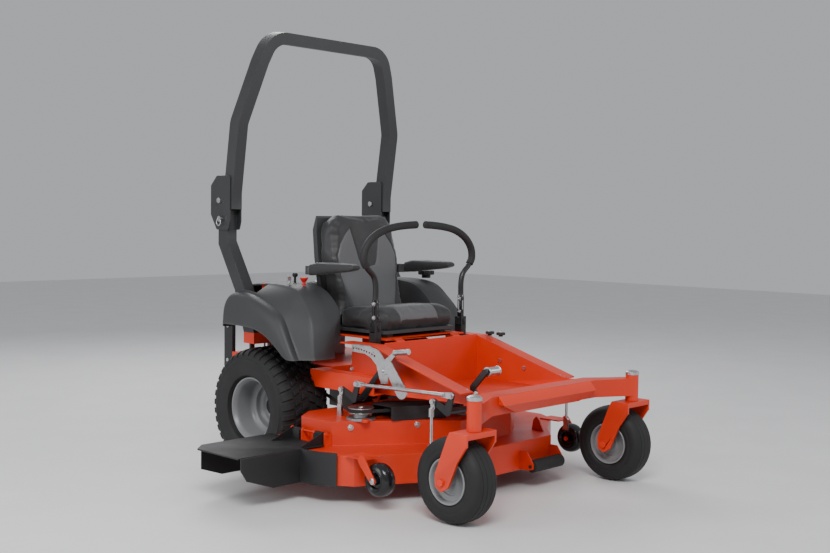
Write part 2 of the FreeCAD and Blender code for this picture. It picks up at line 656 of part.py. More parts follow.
# ---- seat ----
def seat_platform():
    """Tilting plate with its two hinge knuckles."""
    plate = prism_xy([(-252, 740), (252, 740), (252, 1150), (200, 1190), (-200, 1190), (-252, 1150)], PLATFORM_Z)
    y, z = PLATFORM_HINGE
    knuckles = []
    for x in (KNUCKLE_X, (-KNUCKLE_X[1], -KNUCKLE_X[0])):
        eye = rod((x[0], y, z), (x[1], y, z), 9)
        strap = prism_yz([(y - 3, z + 6), (y, z + 12), (y + 22, PLATFORM_Z[1]), (y + 30, PLATFORM_Z[0]),
                          (y + 10, z + 6), (y + 6, z)], x)
        knuckles += [eye, strap]
    whole = join([plate] + knuckles)
    return whole.cut(rod((-230, y, z), (230, y, z), HINGE_PIN_R + RUN))


BACK_SIDE = ((1078, 672), (1092, 740), (1120, 860), (1158, 1080), (1166, 1150), (1182, 1176), (1212, 1176),
             (1232, 1140), (1236, 1080), (1222, 960), (1196, 800), (1176, 672))


def seat_base():
    """Slider rails, seat pan and the rear shell."""
    rails = [box((x - 16, x + 16), (800, 1120), (PLATFORM_Z[1] + SOFT_GAP, 636)) for x in (-170, 170)]
    pan = prism_xy([(-235, 775), (235, 775), (245, 1160), (-245, 1160)], (636, SEAT_Z), 30)
    shell = [(1176, 640), (1176, 672), (1196, 800), (1222, 960), (1236, 1080), (1232, 1140), (1240, 1150),
             (1262, 1085), (1250, 960), (1222, 800), (1200, 636), (1150, 636)]
    back = prism_yz(shell, (-225, 225))
    arm = join([box((243, 283), (1160, 1245), (880, 920)), box((215, 283), (1226, 1245), (880, 920))])
    return join(rails + [pan, back] + both(arm))


def seat_cushion():
    """Simple crowned block for the padded cushion."""
    side = [(782, SEAT_Z + 1), (762, 690), (775, 725), (830, 738), (1060, 728), (1074, 672), (1074, SEAT_Z + 1)]
    body = prism_yz(side, (-SEAT_HALF, SEAT_HALF))
    plan = prism_xy([(-215, 750), (215, 750), (SEAT_HALF, 860), (SEAT_HALF, 1080), (-SEAT_HALF, 1080),
                     (-SEAT_HALF, 860)], (640, 760), 40)
    return body.common(plan)


def seat_back():
    """Simple block for the padded back, narrower at the top."""
    body = prism_yz(BACK_SIDE, (-SEAT_HALF, SEAT_HALF))
    front = prism_xz([(-222, 660), (222, 660), (222, 860), (236, 960), (215, 1120), (150, 1180), (-150, 1180),
                      (-215, 1120), (-236, 960), (-222, 860)], (1000, 1300), 30)
    whole = body.common(front)
    return whole.cut(box((-300, 300), (1100, 1145), (600, SEAT_Z)))


ARM_PIVOT = (1175.0, 900.0)


def armrest():
    """Right armrest pad, hinged at its rear end."""
    y, z = ARM_PIVOT
    x = (-335.0, -284.0)
    pad = prism_yz([(862, 918), (862, 934), (880, 942), (1120, 942), (y, 930), (y, 882), (1120, 882), (1060, 892),
                    (900, 908)], x)
    eye = rod((x[0] + 8, y, z), (x[1], y, z), 22)
    whole = join([pad, eye])
    return whole


# ---- controls ----
YOKE_X = (262.0, 296.0)
SWING_Z = 672.0


def lever_yoke():
    """Right fore-and-aft yoke: pivot pin in the side rail and a clevis for the lever."""
    low = box(YOKE_X, (LEVER_Y - 20, LEVER_Y + 20), (553, 648))
    ears = [box(YOKE_X, span, (648, 690)) for span in ((LEVER_Y - 20, LEVER_Y - 12.3), (LEVER_Y + 12.3, LEVER_Y + 20))]
    pin = rod((YOKE_X[1], LEVER_Y, YOKE_PIVOT_Z), (RAIL_X + RAIL_T + 2, LEVER_Y, YOKE_PIVOT_Z), YOKE_PIN_R)
    washer = rod((YOKE_X[1], LEVER_Y, YOKE_PIVOT_Z), (RAIL_X - GAP, LEVER_Y, YOKE_PIVOT_Z), 16)
    cross = rod((LEVER_X, LEVER_Y - 24, SWING_Z), (LEVER_X, LEVER_Y + 24, SWING_Z), 6)
    return mirror(join([low, pin, washer, cross] + ears))


def control_lever():
    """Right control lever: flat tongue, bent tube and foam grip."""
    tongue = box((LEVER_X - 9, LEVER_X + 9), (LEVER_Y - 12, LEVER_Y + 12), (SWING_Z, 790))
    eye = rod((LEVER_X, LEVER_Y - 12, SWING_Z), (LEVER_X, LEVER_Y + 12, SWING_Z), 15)
    eye = eye.cut(box((0, 400), (700, 900), (SWING_Z + 20, 700)))
    tongue = join([tongue, eye]).cut(rod((LEVER_X, LEVER_Y - 30, SWING_Z), (LEVER_X, LEVER_Y + 30, SWING_Z), 6 + RUN))
    route = [(LEVER_X, 706), (LEVER_X, 868), (370, 962), (212, 1098), (30, 1116)]
    points = [V(x, LEVER_Y, z) for x, z in route]
    tube = round_bar(points, 38.0, LEVER_R)
    tail = [points[2] * 0.35 + points[3] * 0.65, points[3], points[4]]
    grip = round_bar(tail, 38.0, LEVER_R + 4)
    return mirror(join([tube, tongue, grip]))


# ---- deck ----
DECK_PLAN = ((-DECK_HALF, 625), (-645, 521), (-415, 400), (-110, 262), (300, 262), (415, 375), (645, 521),
             (DECK_HALF, 625), (DECK_HALF, 1000), (560, 1080), (-DECK_HALF, 1080))
STEP_PLAN = ((-570, 735), (-240, 498), (-150, 395), (180, 395), (300, 470), (570, 700), (570, 900), (470, 1000),
             (-470, 1000), (-570, 930))


def grow(points, amount):
    """An outline in X and Y moved in or out by the same amount all round."""
    face = outline([V(x, y, 0) for x, y in points], 0)
    wire = face.makeOffset2D(amount, join=2).OuterWire
    return [(v.Point.x, v.Point.y) for v in wire.OrderedVertexes]


def deck_shell():
    """Two-level cutting deck: outer skirt and band, raised centre, open below and to the right."""
    outer = join([prism_xy(DECK_PLAN, (DECK_LOW, DECK_STEP)), prism_xy(STEP_PLAN, (DECK_STEP, DECK_TOP))])
    inner = join([prism_xy(grow(DECK_PLAN, -DECK_T), (DECK_LOW - 1, DECK_STEP - DECK_T)),
                  prism_xy(grow(STEP_PLAN, -DECK_T), (DECK_STEP - DECK_T - 1, DECK_TOP - DECK_T))])
    shell = outer.cut(inner)
    shell = shell.cut(box((-DECK_HALF - 5, -DECK_HALF + 40), (760, 1060), (0, DECK_STEP - DECK_T - 6)))
    for x, y in SPINDLES:
        shell = shell.cut(rod((x, y, DECK_TOP - 10), (x, y, DECK_TOP + 1), 32))
    return shell


def spindle_housings():
    """Flanged bearing housings, bolted through the deck."""
    pieces = []
    for x, y in SPINDLES:
        body = join([rod((x, y, DECK_TOP), (x, y, DECK_TOP + 10), 62),
                     rod((x, y, DECK_TOP - 90), (x, y, DECK_TOP + 24), 31.5)])
        pieces.append(body.cut(rod((x, y, 150), (x, y, 350), 12.5 + RUN)))
    return group(pieces)


def spindle(x, y, angle):
    """One spindle: shaft, belt pulley and blade."""
    low, high = BELT_Z
    shaft = rod((x, y, 120), (x, y, high + 8), 12.5)
    hub = rod((x, y, low - 1), (x, y, high + 1), PULLEY_R - 12)
    plates = [rod((x, y, z), (x, y, z + 4), PULLEY_R) for z in (low - 5, high + 1)]
    boss = join([rod((x, y, 126), (x, y, 160), 24), bolt((x, y, 106), (0, 0, 1), 16, 16)])
    blade = box((-BLADE_R, BLADE_R), (-30, 30), (120, 126))
    ring = rod((0, 0, 110), (0, 0, 140), BLADE_R)
    sails = [prism_yz([(30 * s, 120), (30 * s, 126), (44 * s, 140), (44 * s, 134)], span)
             for s, span in ((1, (120, BLADE_R)), (-1, (-BLADE_R, -120)))]
    blade = join([blade] + sails).common(ring)
    blade.rotate(V(0, 0, 0), V(0, 0, 1), angle)
    blade.translate(V(x, y, 0))
    return join([shaft, hub, boss, blade] + plates)


def belt_circles(extra):
    """Centres and radii of the pulleys that the belt wraps, outside in order."""
    right, front, left = SPINDLES
    wrap = PULLEY_R - 12 + GAP + extra
    return [((0.0, ENGINE_Y), wrap), (right, wrap), (front, wrap), (left, wrap)]


def hull(circles, z):
    """A solid wrapped round equal circles, each centre a corner of a convex loop."""
    centres = [V(centre[0], centre[1], z[0]) for centre, _ in circles]
    radius = circles[0][1]
    count = len(centres)
    ahead = [centres[(i + 1) % count] - centres[i] for i in range(count)]
    normals = [V(-a.y, a.x, 0).normalize() * radius for a in ahead]
    if (ahead[0].cross(ahead[1])).z > 0:
        normals = [n * -1 for n in normals]
    edges = []
    for i in range(count):
        start = centres[i] + normals[i]
        end = centres[(i + 1) % count] + normals[i]
        edges.append(Part.makeLine(start, end))
        following = centres[(i + 1) % count] + normals[(i + 1) % count]
        centre = centres[(i + 1) % count]
        middle = centre + ((end + following) * 0.5 - centre).normalize() * radius
        edges.append(Part.Arc(end, middle, following).toShape())
    return Part.Face(Part.Wire(edges)).extrude(V(0, 0, z[1] - z[0]))


def deck_belt():
    """V belt from the clutch pulley round the three spindle pulleys."""
    return hull(belt_circles(BELT_T), BELT_Z).cut(hull(belt_circles(0), (BELT_Z[0] - 1, BELT_Z[1] + 1)))


COVER_TOP = 359.5
COVER_PLAN = ((-372, 580), (-150, 482), (-150, 605), (-290, 716), (-372, 704))


def belt_covers():
    """A low moulded cover over the belt on each side, open at both ends where the belt runs through."""
    roof = prism_xy(COVER_PLAN, (DECK_TOP, COVER_TOP))
    hollow = prism_xy(grow(COVER_PLAN, -3), (DECK_TOP - 1, COVER_TOP - 4))
    ends = [box((-380, -360), (590, 698), (DECK_TOP - 1, COVER_TOP - 4)),
            box((-160, -140), (486, 600), (DECK_TOP - 1, COVER_TOP - 4))]
    cover = roof.cut(hollow).cut(ends[0]).cut(ends[1])
    return group(both(cover))


HINGE_Z = 250.0
CHUTE_TOP = (205.0, 211.0)
CHUTE_PIN_R = 5.0
CHUTE_EYES = ((748, 800), (890, 942))


def chute():
    """Discharge chute: sloping guard plate with front, rear and outer skirts, hinged along Y."""
    y = CHUTE_Y
    x = (CHUTE_OUT_X, CHUTE_HINGE_X - 14)
    top = prism_xy([(x[1], y[0]), (x[1], y[1]), (x[0] + 60, y[1]), (x[0], y[1] - 55), (x[0], y[0] + 20)],
                   CHUTE_TOP)
    skirt = [(-DECK_HALF - 6, CHUTE_TOP[1]), (-DECK_HALF - 6, 75), (-880, 75), (x[0] + 30, 120), (x[0], 165),
             (x[0], CHUTE_TOP[1])]
    front = prism_xz(skirt, (y[0], y[0] + 6))
    rear = prism_xz(skirt, (y[1] - 6, y[1]))
    body = join([top, front, rear]).common(
        prism_xy([(x[1], y[0]), (x[1], y[1]), (x[0] + 60, y[1]), (x[0], y[1] - 55), (x[0], y[0])], (0, 300)))
    wing = prism_xy([(-741, y[0] + 5), (-741, y[0]), (-724, 636), (-692, 572), (-687, 575), (-718, 640),
                     (-733, y[0] + 5)], (75, CHUTE_TOP[1]))
    gusset = [(-735, CHUTE_TOP[1] - 1), (-612, CHUTE_TOP[1] - 1), (-600, HINGE_Z - 6), (-600, HINGE_Z + 8),
              (-612, HINGE_Z + 8)]
    gussets = [prism_xz(gusset, (CHUTE_EYES[0][0], CHUTE_EYES[0][0] + 5)),
               prism_xz(gusset, (CHUTE_EYES[1][1] - 5, CHUTE_EYES[1][1]))]
    hinge = CHUTE_HINGE_X
    eyes = [rod((hinge, a, HINGE_Z), (hinge, b, HINGE_Z), 9) for a, b in CHUTE_EYES]
    straps = [box((x[1] - 4, hinge), span, (CHUTE_TOP[0] + 2, HINGE_Z)) for span in CHUTE_EYES]
    chute_body = join([body, wing] + gussets + eyes + straps)
    return chute_body.cut(rod((hinge, y[0] - 20, HINGE_Z), (hinge, y[1] + 20, HINGE_Z), CHUTE_PIN_R + RUN))


SCALP_R = 67.0
SCALP = (-629.0, 392.0, 126.0)
ROLLER = (190.0, 205.0, 100.0)
ROLLER_R = 27.0
ROLLER_HALF = 100.0


def deck_brackets():
    """Chute hinge pin with its ears, and the forks that carry the anti-scalp wheels and front roller."""
    x = CHUTE_HINGE_X
    pieces = []
    ears = []
    for low, high in CHUTE_EYES:
        for a in (low - 12, high + 4):
            ears.append(rod((x, a, HINGE_Z), (x, a + 8, HINGE_Z), 10))
            ears.append(box((x - 10, x + 29), (a, a + 8), (DECK_STEP, HINGE_Z)))
    pin = rod((x, CHUTE_EYES[0][0] - 18, HINGE_Z), (x, CHUTE_EYES[1][1] + 18, HINGE_Z), CHUTE_PIN_R)
    pieces.append(join(ears + [pin]))
    sx, sy, sz = SCALP
    for side in (1, -1):
        cx = side * sx
        inner = cx - side * 41
        cheek = link((sy, sz), (sy + 60, DECK_STEP - 2), (14, 20), (inner - 3, inner + 3))
        axle = rod((inner, sy, sz), (cx + side * 40, sy, sz), 6)
        cap = bolt((cx + side * 36, sy, sz), (side, 0, 0), 11, 7)
        plate = box((cx - 44, cx + 44), (sy + 60, sy + 150), (DECK_STEP, DECK_STEP + 6))
        lip = box((cx - 44, cx + 44), (sy + 40, sy + 66), (DECK_STEP, DECK_STEP + 6))
        pieces.append(join([plate, lip, axle, cap, cheek]))
    rx, ry, rz = ROLLER
    for s in (-1, 1):
        cx = rx + s * (ROLLER_HALF + 5)
        ear = prism_yz([(ry - 14, rz - 10), (ry - 14, rz + 12), (ry + 20, rz + 60), (262, rz + 60), (262, rz - 18),
                        (ry + 10, rz - 18)], (cx - 3, cx + 3))
        pieces.append(ear.cut(rod((cx - 5, ry, rz), (cx + 5, ry, rz), 8 + RUN)))
    return group(pieces)


def scalp_wheel():
    """Right anti-scalp wheel."""
    x, y, z = SCALP
    h = 34.0
    profile = [(-h, 30), (-h, SCALP_R - 12), (-h + 9, SCALP_R), (h - 9, SCALP_R), (h, SCALP_R - 12), (h, 30),
               (h - 14, 26), (h - 14, 16), (h, 16), (h, 6 + RUN), (-h, 6 + RUN), (-h, 16), (-h + 14, 16),
               (-h + 14, 26)]
    return spin_x([(x + a, r) for a, r in profile], y, z)


def front_roller():
    x, y, z = ROLLER
    body = rod((x - ROLLER_HALF, y, z), (x + ROLLER_HALF, y, z), ROLLER_R)
    return join([body, rod((x - ROLLER_HALF - 12, y, z), (x + ROLLER_HALF + 12, y, z), 8)])


# ---- deck lift ----
ARM_END = (70.0, 33.0)
ROD_PIN = (-24.0, 67.0)
ARM_X = (430.0, 438.0)


def lift_shaft(centre, horn):
    """Cross shaft with an arm at each end, and the horn that the connecting rod pushes."""
    y, z = centre
    shaft = rod((-ARM_X[1], y, z), (ARM_X[1], y, z), SHAFT_R)
    end = (y + ARM_END[0], z + ARM_END[1])
    parts = [shaft]
    parts += both(link((y, z), end, (17, 12), ARM_X))
    if horn:
        top = (y + ROD_PIN[0], z + ROD_PIN[1])
        parts.append(link((y, z), top, (17, 12), (-ARM_X[1], -ARM_X[0])))
    return parts


PEDAL_X = (-266.0, -254.0)
PEDAL_TOP = (176.0, 537.0)


def front_lift_shaft():
    """Front cross shaft with the foot pedal's arm."""
    y, z = FRONT_LIFT
    parts = lift_shaft(FRONT_LIFT, True)
    knee = (238.0, 470.0)
    parts.append(link((y, z), knee, (20, 13), PEDAL_X))
    parts.append(link(knee, PEDAL_TOP, (13, 13), PEDAL_X))
    parts.append(rod((PEDAL_X[1], *PEDAL_TOP), (PEDAL_X[1] + 72, *PEDAL_TOP), 8))
    return join(parts)


def rear_lift_shaft():
    """Rear lift shaft with its arms and horn, and the bar that follows the quadrant."""
    bar = link(REAR_LIFT, (655, 497), (17, 10), (-384.5, -379.5))
    return join(lift_shaft(REAR_LIFT, True) + [bar])


def pedal_roller():
    """Ribbed foot roller on the pedal's stub."""
    x = PEDAL_X[1] + 3
    body = rod((x, *PEDAL_TOP), (x + 70, *PEDAL_TOP), 17)
    ends = [rod((a, *PEDAL_TOP), (a + 4, *PEDAL_TOP), 20) for a in (x, x + 66)]
    return join([body] + ends).cut(rod((x - 5, *PEDAL_TOP), (x + 69.5, *PEDAL_TOP), 8 + RUN))


def lift_rod():
    """Long connecting rod between the two horns, with its flat ends and bolts."""
    front = (FRONT_LIFT[0] + ROD_PIN[0], FRONT_LIFT[1] + ROD_PIN[1])
    rear = (REAR_LIFT[0] + ROD_PIN[0], REAR_LIFT[1] + ROD_PIN[1])
    x = -ARM_X[1] - GAP
    parts = []
    for end, toward in ((front, rear), (rear, front)):
        step = 45 if toward[0] > end[0] else -45
        slope = (toward[1] - end[1]) / (toward[0] - end[0])
        parts.append(link(end, (end[0] + step, end[1] + step * slope), (13, 9), (x - 6, x)))
        parts.append(bolt((x - 6, *end), (-1, 0, 0), 11, 8))
    tail = [(end[0] + s * 30, end[1]) for end, s in ((front, 1), (rear, -1))]
    parts.append(rod((x - 6, *tail[0]), (x - 6, *tail[1]), 8))
    return join(parts)


def lift_links():
    """Four adjustable hangers, each a turnbuckle between the lift arm and the deck."""
    x = ARM_X[1] + GAP
    pieces = []
    for centre in (FRONT_LIFT, REAR_LIFT):
        y = centre[0] + ARM_END[0]
        z = centre[1] + ARM_END[1]
        base = DECK_TOP if centre is REAR_LIFT else DECK_STEP
        eye = link((y, z), (y, z - 26), (12, 8), (x, x + 6))
        nut = bolt((x + 10, y, z - 60), (0, 0, 1), 11, 34)
        stud = rod((x + 10, y, base + 40), (x + 10, y, z - 22), 6)
        foot = link((y, base + 45), (y, base + 12), (12, 12), (x + 4, x + 16))
        lug = box((x + 4, x + 16), (y - 14, y + 14), (base, base + 14))
        head = bolt((x + 6, y, z), (1, 0, 0), 11, 7)
        piece = join([eye, nut, stud, foot, lug, head])
        pieces += both(piece)
    return group(pieces)


QUADRANT_X = (-392.0, -386.0)
SELECTOR_PIVOT = (618.0, 508.0)


def height_quadrant():
    """Curved height-of-cut plate with its row of stop holes, standing off the right rail."""
    plate_edge = ((812, 603), (700, 604), (650, 590), (612, 556), (590, 500), (592, 458), (632, 452), (648, 490),
                  (660, 528), (692, 555), (730, 570), (812, 573))
    plate = prism_yz(plate_edge, QUADRANT_X)
    for i in range(9):
        t = i / 8.0
        y = 800 - 128 * t
        z = 588 - 22 * t * t
        plate = plate.cut(rod((QUADRANT_X[0] - 1, y, z), (QUADRANT_X[1] + 1, y, z), 4.5))
    tab = box((QUADRANT_X[1], -RAIL_OUT), (710, 805), (599, RAIL_TOP))
    whole = join([plate, tab])
    y, z = SELECTOR_PIVOT
    return whole.cut(rod((QUADRANT_X[0] - 1, y, z), (QUADRANT_X[1] + 1, y, z), 7 + RUN))


def height_lever():
    """Selector lever: pivot, flat plate and the black hand grip."""
    y, z = SELECTOR_PIVOT
    x = (QUADRANT_X[0] - GAP - 6, QUADRANT_X[0] - GAP)
    arm = link((y, z), (588, 552), (18, 14), x)
    tail = link((582, 530), (508, 434), (24, 31), x)
    web = link((y, z), (582, 530), (18, 24), x)
    handle = link((588, 552), (545, 590), (13, 9), x)
    grip = rod((sum(x) / 2, 552, 590), (sum(x) / 2, 470, 602), 12)
    pin = rod((x[0] - 5, y, z), (QUADRANT_X[1] + 3, y, z), 7)
    return join([arm, web, tail, handle, grip, pin])


# ---- fasteners ----
def fasteners():
    """Barrel caps, fold bolts, seat hinge pins and frame bolts."""
    pieces = []
    for side in (-1, 1):
        x = side * CASTER_X
        cap = join([rod((x, 0, BARREL_TOP), (x, 0, BARREL_TOP + 12), 30),
                    Part.makeCone(30, 20, 6, V(x, 0, BARREL_TOP + 12))])
        pieces.append(cap)
        out = side * (HOOP_X + HOOP_W / 2 + GAP + PLATE_T)
        inn = side * (HOOP_X - HOOP_W / 2 - GAP - PLATE_T)
        fold = join([rod((inn, FOLD_Y, FOLD_Z), (out, FOLD_Y, FOLD_Z), PIN_R),
                     bolt((out, FOLD_Y, FOLD_Z), (side, 0, 0), 14, 10),
                     bolt((inn, FOLD_Y, FOLD_Z), (-side, 0, 0), 14, 10)])
        pieces.append(fold)
        pieces.append(rod((side * (KNUCKLE_X[1] + 10), *PLATFORM_HINGE), (side * (KNUCKLE_X[0] - 10), *PLATFORM_HINGE),
                          HINGE_PIN_R))
        for y in (1445, 1560, 1700):
            pieces.append(bolt((side * 257, y, LOW_RAIL_Z[1] + 6), (0, 0, 1), 10))
        for y, z in ((420, 480), (560, 500)):
            pieces.append(bolt((side * RAIL_X, y, z), (-side, 0, 0), 10))
        for z in (430, 600):
            pieces.append(bolt((side * INNER_RAIL[1], GUARD_REAR_Y - 32, z), (side, 0, 0), 10))
    return group(pieces)


# ---- the whole machine ----
def nodes():
    right_side = {
        "rops_lock_pin": lock_pin(), "armrest": armrest(), "lever_yoke": lever_yoke(),
        "control_lever": control_lever(), "caster_fork": caster_fork(), "caster_rim": caster_rim(),
        "caster_tyre": caster_tyre(), "rear_rim": rear_rim(), "rear_tyre": rear_tyre(),
        "anti_scalp_wheel": scalp_wheel(),
    }
    made = {
        "main_frame": main_frame(), "front_axle": front_axle(), "bumper_plate": bumper_plate(),
        "footwell": footwell(), "rear_guard": rear_guard(),
        "rops_uprights": rops_uprights(), "rops_hoop": rops_hoop(), "right_fender": right_fender(),
        "left_fender": left_fender(), "fuel_cap": fuel_cap(), "pto_knob": pto_knob(),
        "ignition_key": ignition_key(), "throttle_lever": throttle_lever(), "engine": engine(),
        "engine_shroud": engine_shroud(), "muffler": muffler(), "engine_pulley": engine_pulley(),
        "transaxles": transaxles(), "seat_platform": seat_platform(), "seat_base": seat_base(),
        "seat_cushion": seat_cushion(), "seat_back": seat_back(), "deck_shell": deck_shell(),
        "spindle_housings": spindle_housings(), "deck_belt": deck_belt(), "belt_covers": belt_covers(),
        "chute": chute(), "deck_brackets": deck_brackets(), "front_roller": front_roller(),
        "front_lift_shaft": front_lift_shaft(), "rear_lift_shaft": rear_lift_shaft(),
        "pedal_roller": pedal_roller(), "lift_rod": lift_rod(), "lift_links": lift_links(),
        "height_quadrant": height_quadrant(), "height_lever": height_lever(), "fasteners": fasteners(),
    }
    for (x, y), name, angle in zip(SPINDLES, ("right", "centre", "left"), (20, 75, 160)):
        made["spindle_" + name] = spindle(x, y, angle)
    for name, shape in right_side.items():
        made[name + "_right"] = shape
        made[name + "_left"] = mirror(shape)
    return made


os.makedirs("parts", exist_ok=True)
for node, shape in sorted(nodes().items()):
    shape.translate(SHIFT)
    shape.exportStep("parts/%s.step" % node)
    print(node, len(shape.Solids), "valid" if shape.isValid() else "INVALID", round(shape.Volume / 1000.0))
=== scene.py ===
import json
import math

import bmesh
import bpy
from mathutils import Matrix, Vector, noise


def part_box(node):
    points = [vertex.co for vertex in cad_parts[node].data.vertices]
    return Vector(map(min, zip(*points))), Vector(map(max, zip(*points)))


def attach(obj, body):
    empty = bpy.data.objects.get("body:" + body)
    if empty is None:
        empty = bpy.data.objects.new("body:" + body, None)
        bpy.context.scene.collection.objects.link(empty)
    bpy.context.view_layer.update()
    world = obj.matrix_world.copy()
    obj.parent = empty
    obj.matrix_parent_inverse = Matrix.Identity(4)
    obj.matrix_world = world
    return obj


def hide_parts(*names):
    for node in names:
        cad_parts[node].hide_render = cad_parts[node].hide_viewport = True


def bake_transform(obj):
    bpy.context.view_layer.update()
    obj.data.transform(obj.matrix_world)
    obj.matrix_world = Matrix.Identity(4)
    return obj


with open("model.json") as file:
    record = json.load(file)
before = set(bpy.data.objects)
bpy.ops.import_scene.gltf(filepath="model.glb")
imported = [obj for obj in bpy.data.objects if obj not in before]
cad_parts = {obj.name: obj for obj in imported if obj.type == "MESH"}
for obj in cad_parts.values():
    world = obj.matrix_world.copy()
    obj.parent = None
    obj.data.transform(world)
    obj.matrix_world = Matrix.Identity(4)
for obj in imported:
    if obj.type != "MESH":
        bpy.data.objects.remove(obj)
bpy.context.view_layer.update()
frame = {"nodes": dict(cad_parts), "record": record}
NODES = frame["nodes"]

# ---- the machine's own axes: x from the middle plane, y from the caster swivels, z from the ground ----


def centre_of(node):
    low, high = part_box(node)
    return (Vector(low) + Vector(high)) / 2


MIDDLE_X = (centre_of("rear_tyre_right").x + centre_of("rear_tyre_left").x) / 2
BARREL_Y = next(j["pos_m"][1] for j in frame["record"]["behaviour"]["joints"] if j["name"] == "caster_right_swivel")
ORIGIN = Vector((MIDDLE_X, BARREL_Y, 0))


def at(x, y, z):
    """A point given on the machine's own axes, in the frame's."""
    return Vector((x, y, z)) + ORIGIN


# ---- materials ----
MATERIALS = {}


def graph(name):
    material = bpy.data.materials.new(name)
    material.use_nodes = True
    tree = material.node_tree
    shader = tree.nodes["Principled BSDF"]
    MATERIALS[name] = material
    return material, tree, shader


def node(tree, kind, **values):
    made = tree.nodes.new(kind)
    for key, value in values.items():
        if key in made.inputs:
            made.inputs[key].default_value = value
        else:
            setattr(made, key, value)
    return made


def object_noise(tree, scale, detail=4.0, rough=0.55):
    """Noise in the object's own metres."""
    place = node(tree, "ShaderNodeTexCoord")
    made = node(tree, "ShaderNodeTexNoise", Scale=scale, Detail=detail, Roughness=rough)
    tree.links.new(place.outputs["Object"], made.inputs["Vector"])
    return made


def ramp(tree, source, stops):
    made = node(tree, "ShaderNodeValToRGB")
    while len(made.color_ramp.elements) < len(stops):
        made.color_ramp.elements.new(0.5)
    for element, (place, colour) in zip(made.color_ramp.elements, stops):
        element.position = place
        element.color = (*colour, 1)
    tree.links.new(source, made.inputs["Fac"])
    return made


def spread(tree, source, low, high):
    """A value stretched from noise's middle range to low..high."""
    made = node(tree, "ShaderNodeMapRange")
    made.inputs["From Min"].default_value = 0.3
    made.inputs["From Max"].default_value = 0.7
    made.inputs["To Min"].default_value = low
    made.inputs["To Max"].default_value = high
    tree.links.new(source, made.inputs["Value"])
    return made.outputs["Result"]


def bump(tree, shader, heights):
    """Bumps added one on another: (height output, strength, distance)."""
    last = None
    for height, strength, distance in heights:
        made = node(tree, "ShaderNodeBump", Strength=strength, Distance=distance)
        tree.links.new(height, made.inputs["Height"])
        if last:
            tree.links.new(last.outputs["Normal"], made.inputs["Normal"])
        last = made
    tree.links.new(last.outputs["Normal"], shader.inputs["Normal"])


def edge_wear_and_highlight(tree):
    """0 on flats, 1 on sharp outer edges: the mask for lighter edges that are partly wear and partly painted
    highlight.
    """
    geometry = node(tree, "ShaderNodeNewGeometry")
    made = node(tree, "ShaderNodeMapRange")
    made.inputs["From Min"].default_value = 0.53
    made.inputs["From Max"].default_value = 0.62
    tree.links.new(geometry.outputs["Pointiness"], made.inputs["Value"])
    return made.outputs["Result"]


def blend_colour(tree, factor, a, b):
    made = node(tree, "ShaderNodeMix", data_type="RGBA")
    tree.links.new(factor, made.inputs["Factor"])
    for socket, value in ((6, a), (7, b)):
        if isinstance(value, tuple):
            made.inputs[socket].default_value = (*value, 1)
        else:
            tree.links.new(value, made.inputs[socket])
    return made.outputs[2]


def paint(name, colour, rough=(0.28, 0.4), coat=0.25, peel=0.06):
    """Powder coat: orange-peel bump, cloudy roughness, lighter edges (partly wear, partly painted highlight) and a
    little dust.
    """
    material, tree, shader = graph(name)
    cloud = object_noise(tree, 6.0, 5)
    fine = object_noise(tree, 900.0, 2)
    dark = tuple(c * 0.86 for c in colour)
    tint = ramp(tree, cloud.outputs["Fac"], ((0.25, dark), (0.75, colour)))
    bright = tuple(min(1, c * 1.35 + 0.01) for c in colour)
    # lighter edges: partly real wear and partly painted highlight
    worn_and_highlit_edge = blend_colour(tree, edge_wear_and_highlight(tree), tint.outputs["Color"], bright)
    tree.links.new(worn_and_highlit_edge, shader.inputs["Base Color"])
    tree.links.new(spread(tree, cloud.outputs["Fac"], *rough), shader.inputs["Roughness"])
    shader.inputs["Coat Weight"].default_value = coat
    shader.inputs["Coat Roughness"].default_value = 0.25
    bump(tree, shader, [(fine.outputs["Fac"], peel, 0.0006)])
    return material


def plastic(name, colour, rough=(0.48, 0.62), grain=0.35, scale=1400.0):
    """Moulded plastic: fine spark grain, slow colour drift and lighter edges, partly wear and partly painted
    highlight.
    """
    material, tree, shader = graph(name)
    drift = object_noise(tree, 9.0, 3)
    spark = object_noise(tree, scale, 3, 0.7)
    tint = ramp(tree, drift.outputs["Fac"], ((0.3, tuple(c * 0.85 for c in colour)), (0.7, colour)))
    # lighter edges: partly real wear and partly painted highlight
    worn_and_highlit_edge = blend_colour(tree, edge_wear_and_highlight(tree), tint.outputs["Color"], tuple(c * 1.5 + 0.01 for c in colour))
    tree.links.new(worn_and_highlit_edge, shader.inputs["Base Color"])
    tree.links.new(spread(tree, drift.outputs["Fac"], *rough), shader.inputs["Roughness"])
    bump(tree, shader, [(spark.outputs["Fac"], grain, 0.0004)])
    return material


def metal(name, colour, rough=(0.25, 0.42), brushed=0.0, scale=60.0):
    """Bare or plated metal with cloudy plating and, if wanted, brushing along X."""
    material, tree, shader = graph(name)
    cloud = object_noise(tree, scale, 5, 0.6)
    tint = ramp(tree, cloud.outputs["Fac"], ((0.3, tuple(c * 0.8 for c in colour)), (0.7, colour)))
    tree.links.new(tint.outputs["Color"], shader.inputs["Base Color"])
    tree.links.new(spread(tree, cloud.outputs["Fac"], *rough), shader.inputs["Roughness"])
    shader.inputs["Metallic"].default_value = 1.0
    place = node(tree, "ShaderNodeTexCoord")
    stretch = node(tree, "ShaderNodeMapping")
    stretch.inputs["Scale"].default_value = (12, 900, 900)
    tree.links.new(place.outputs["Object"], stretch.inputs["Vector"])
    line = node(tree, "ShaderNodeTexNoise", Scale=1.0, Detail=2.0)
    tree.links.new(stretch.outputs["Vector"], line.inputs["Vector"])
    bump(tree, shader, [(line.outputs["Fac"], 0.08 + brushed, 0.0003), (cloud.outputs["Fac"], 0.05, 0.0008)])
    return material


